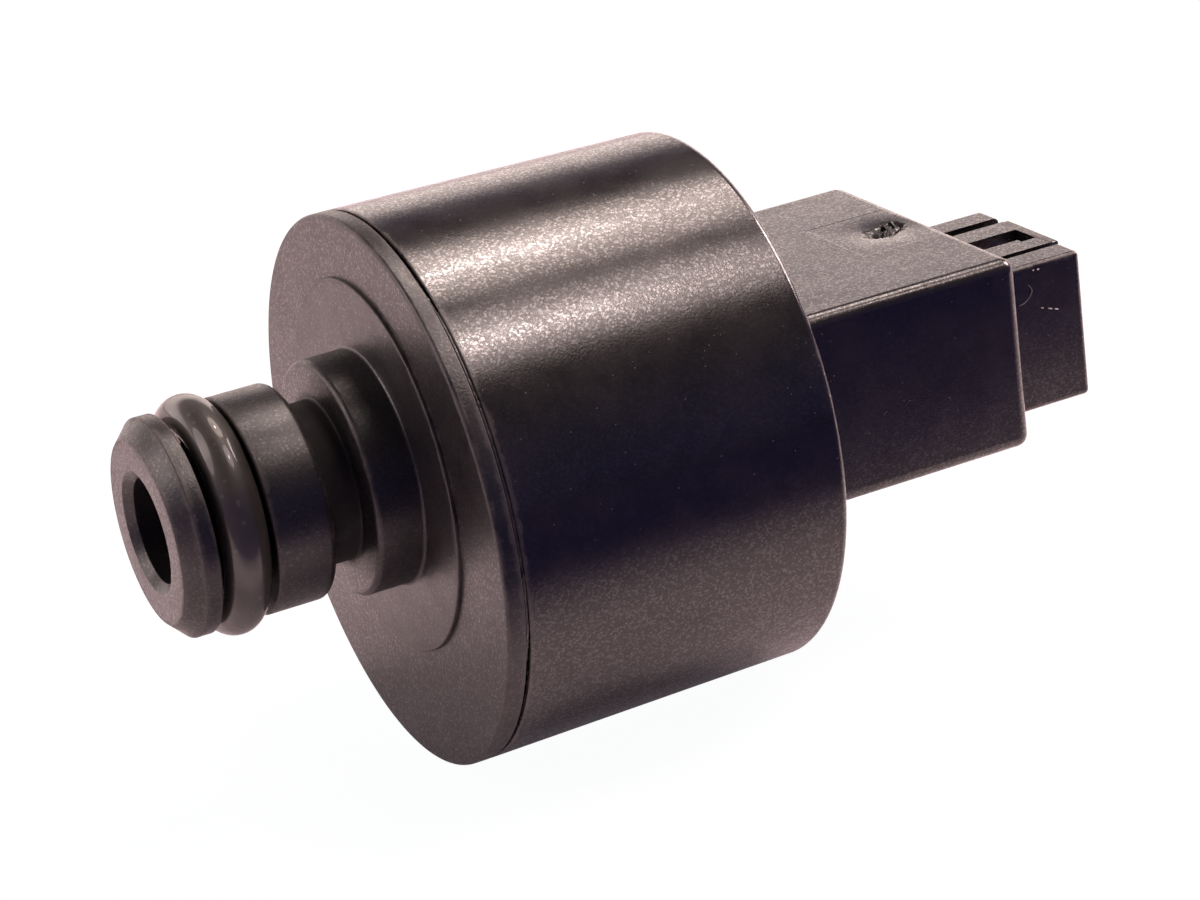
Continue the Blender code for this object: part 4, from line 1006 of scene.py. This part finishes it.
spring_steel = bare_metal("drawn_spring_steel", (0.62, 0.61, 0.60), (0.42, 0.40, 0.38), 0.33,
                          (9000.0, 2500.0, 2500.0), 0.000004)
pressed_steel = bare_metal("pressed_steel", (0.60, 0.60, 0.59), (0.45, 0.44, 0.42), 0.36,
                           (2000.0, 9000.0, 1500.0), 0.000004)
tinned_brass = bare_metal("tinned_brass", (0.78, 0.76, 0.72), (0.62, 0.58, 0.48), 0.28,
                          (1200.0, 9000.0, 9000.0), 0.000003)
plated_magnet = bare_metal("plated_magnet", (0.42, 0.42, 0.43), (0.25, 0.25, 0.26), 0.42,
                           (7000.0, 7000.0, 7000.0), 0.000005)


def plain_moulding(name, light, dark, gloss, grain_size, depth):
    """An unfilled or lightly filled moulding: cloudy tone, fine grain, faint specks."""
    made, tree, shader, place = new_material(name)
    grain = place_group(tree, grain_group, {
        "Vector": place, "Grain Size": grain_size, "Wave Size": 0.002, "Wave Share": 0.8})
    specks = place_group(tree, fleck_group, {"Vector": place, "Fleck Size": 0.0002, "Amount": 0.02})["Mask"]
    cloud = clouds(tree, place, 500.0, 4.0, 0.6)
    colour = mix_colours(tree, rise(tree, cloud, 0.3, 0.7), (*dark, 1), (*light, 1))
    colour = mix_colours(tree, times(tree, specks, 0.25), colour, (0.12, 0.10, 0.08, 1))
    rough = calculate(tree, "MULTIPLY_ADD", grain["Grain"], 0.14, gloss - 0.07, clamp=True)
    feed(tree, shader, {"Base Color": colour, "Roughness": rough,
                        "Normal": relief(tree, grain["Height"], depth)})
    return made, tree, shader, place, colour


natural_acetal = plain_moulding("natural_acetal", (0.78, 0.77, 0.73), (0.70, 0.68, 0.63),
                                0.42, 0.00018, 0.000006)[0]
sensor_epoxy = plain_moulding("sensor_epoxy", (0.040, 0.040, 0.045), (0.025, 0.025, 0.028),
                              0.55, 0.00010, 0.000006)[0]


def finish_solid(node_name, finish):
    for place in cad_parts[node_name].material_slots:
        place.material = finish


for node_names, finish in (
        (("guide_frame",), guide_nylon),
        (("diaphragm",), diaphragm_rubber),
        (("main_spring",), spring_steel),
        (("spring_washer", "push_nut"), pressed_steel),
        (("adjusting_screw", "plunger", "clamp_disc"), natural_acetal),
        (("magnet",), plated_magnet),
        (("terminal_pin_1", "terminal_pin_2", "terminal_pin_3"), tinned_brass),
        (("field_sensor",), sensor_epoxy)):
    for node_name in node_names:
        finish_solid(node_name, finish)

# Solder mask over a woven board, and chips with silvered ends.
chips_middle = 27.025
board_mask, tree, shader, place, colour = plain_moulding(
    "board_solder_mask", (0.030, 0.200, 0.085), (0.022, 0.150, 0.065), 0.34, 0.0003, 0.000004)
weave_x = add_node(tree, "TexWave", {"Vector": place, "Scale": 320.0, "Distortion": 1.0}, bands_direction="X")
weave_y = add_node(tree, "TexWave", {"Vector": place, "Scale": 320.0, "Distortion": 1.0}, bands_direction="Y")
woven = times(tree, weave_x.outputs["Fac"], weave_y.outputs["Fac"])
colour = mix_colours(tree, times(tree, woven, 0.30), colour, (0.060, 0.280, 0.120, 1))
tree.links.new(colour, shader.inputs["Base Color"])
finish_solid("circuit_board", board_mask)
for node_name, light, dark in (("capacitor_1", (0.50, 0.37, 0.23), (0.40, 0.29, 0.17)),
                               ("capacitor_2", (0.48, 0.36, 0.24), (0.39, 0.28, 0.18)),
                               ("resistor", (0.040, 0.038, 0.036), (0.024, 0.023, 0.022))):
    chip, tree, shader, place, colour = plain_moulding(
        node_name + "_body", light, dark, 0.48, 0.0002, 0.000005)
    along = add_node(tree, "SeparateXYZ", {0: place}).outputs["X"]
    from_middle = calculate(tree, "ABSOLUTE", calculate(tree, "SUBTRACT", along, chips_middle * MM))
    ends = rise(tree, from_middle, 0.58 * MM, 0.62 * MM)
    silvered = mix_colours(tree, ends, colour, (0.62, 0.61, 0.58, 1))
    feed(tree, shader, {"Base Color": silvered, "Metallic": ends})
    finish_solid(node_name, chip)
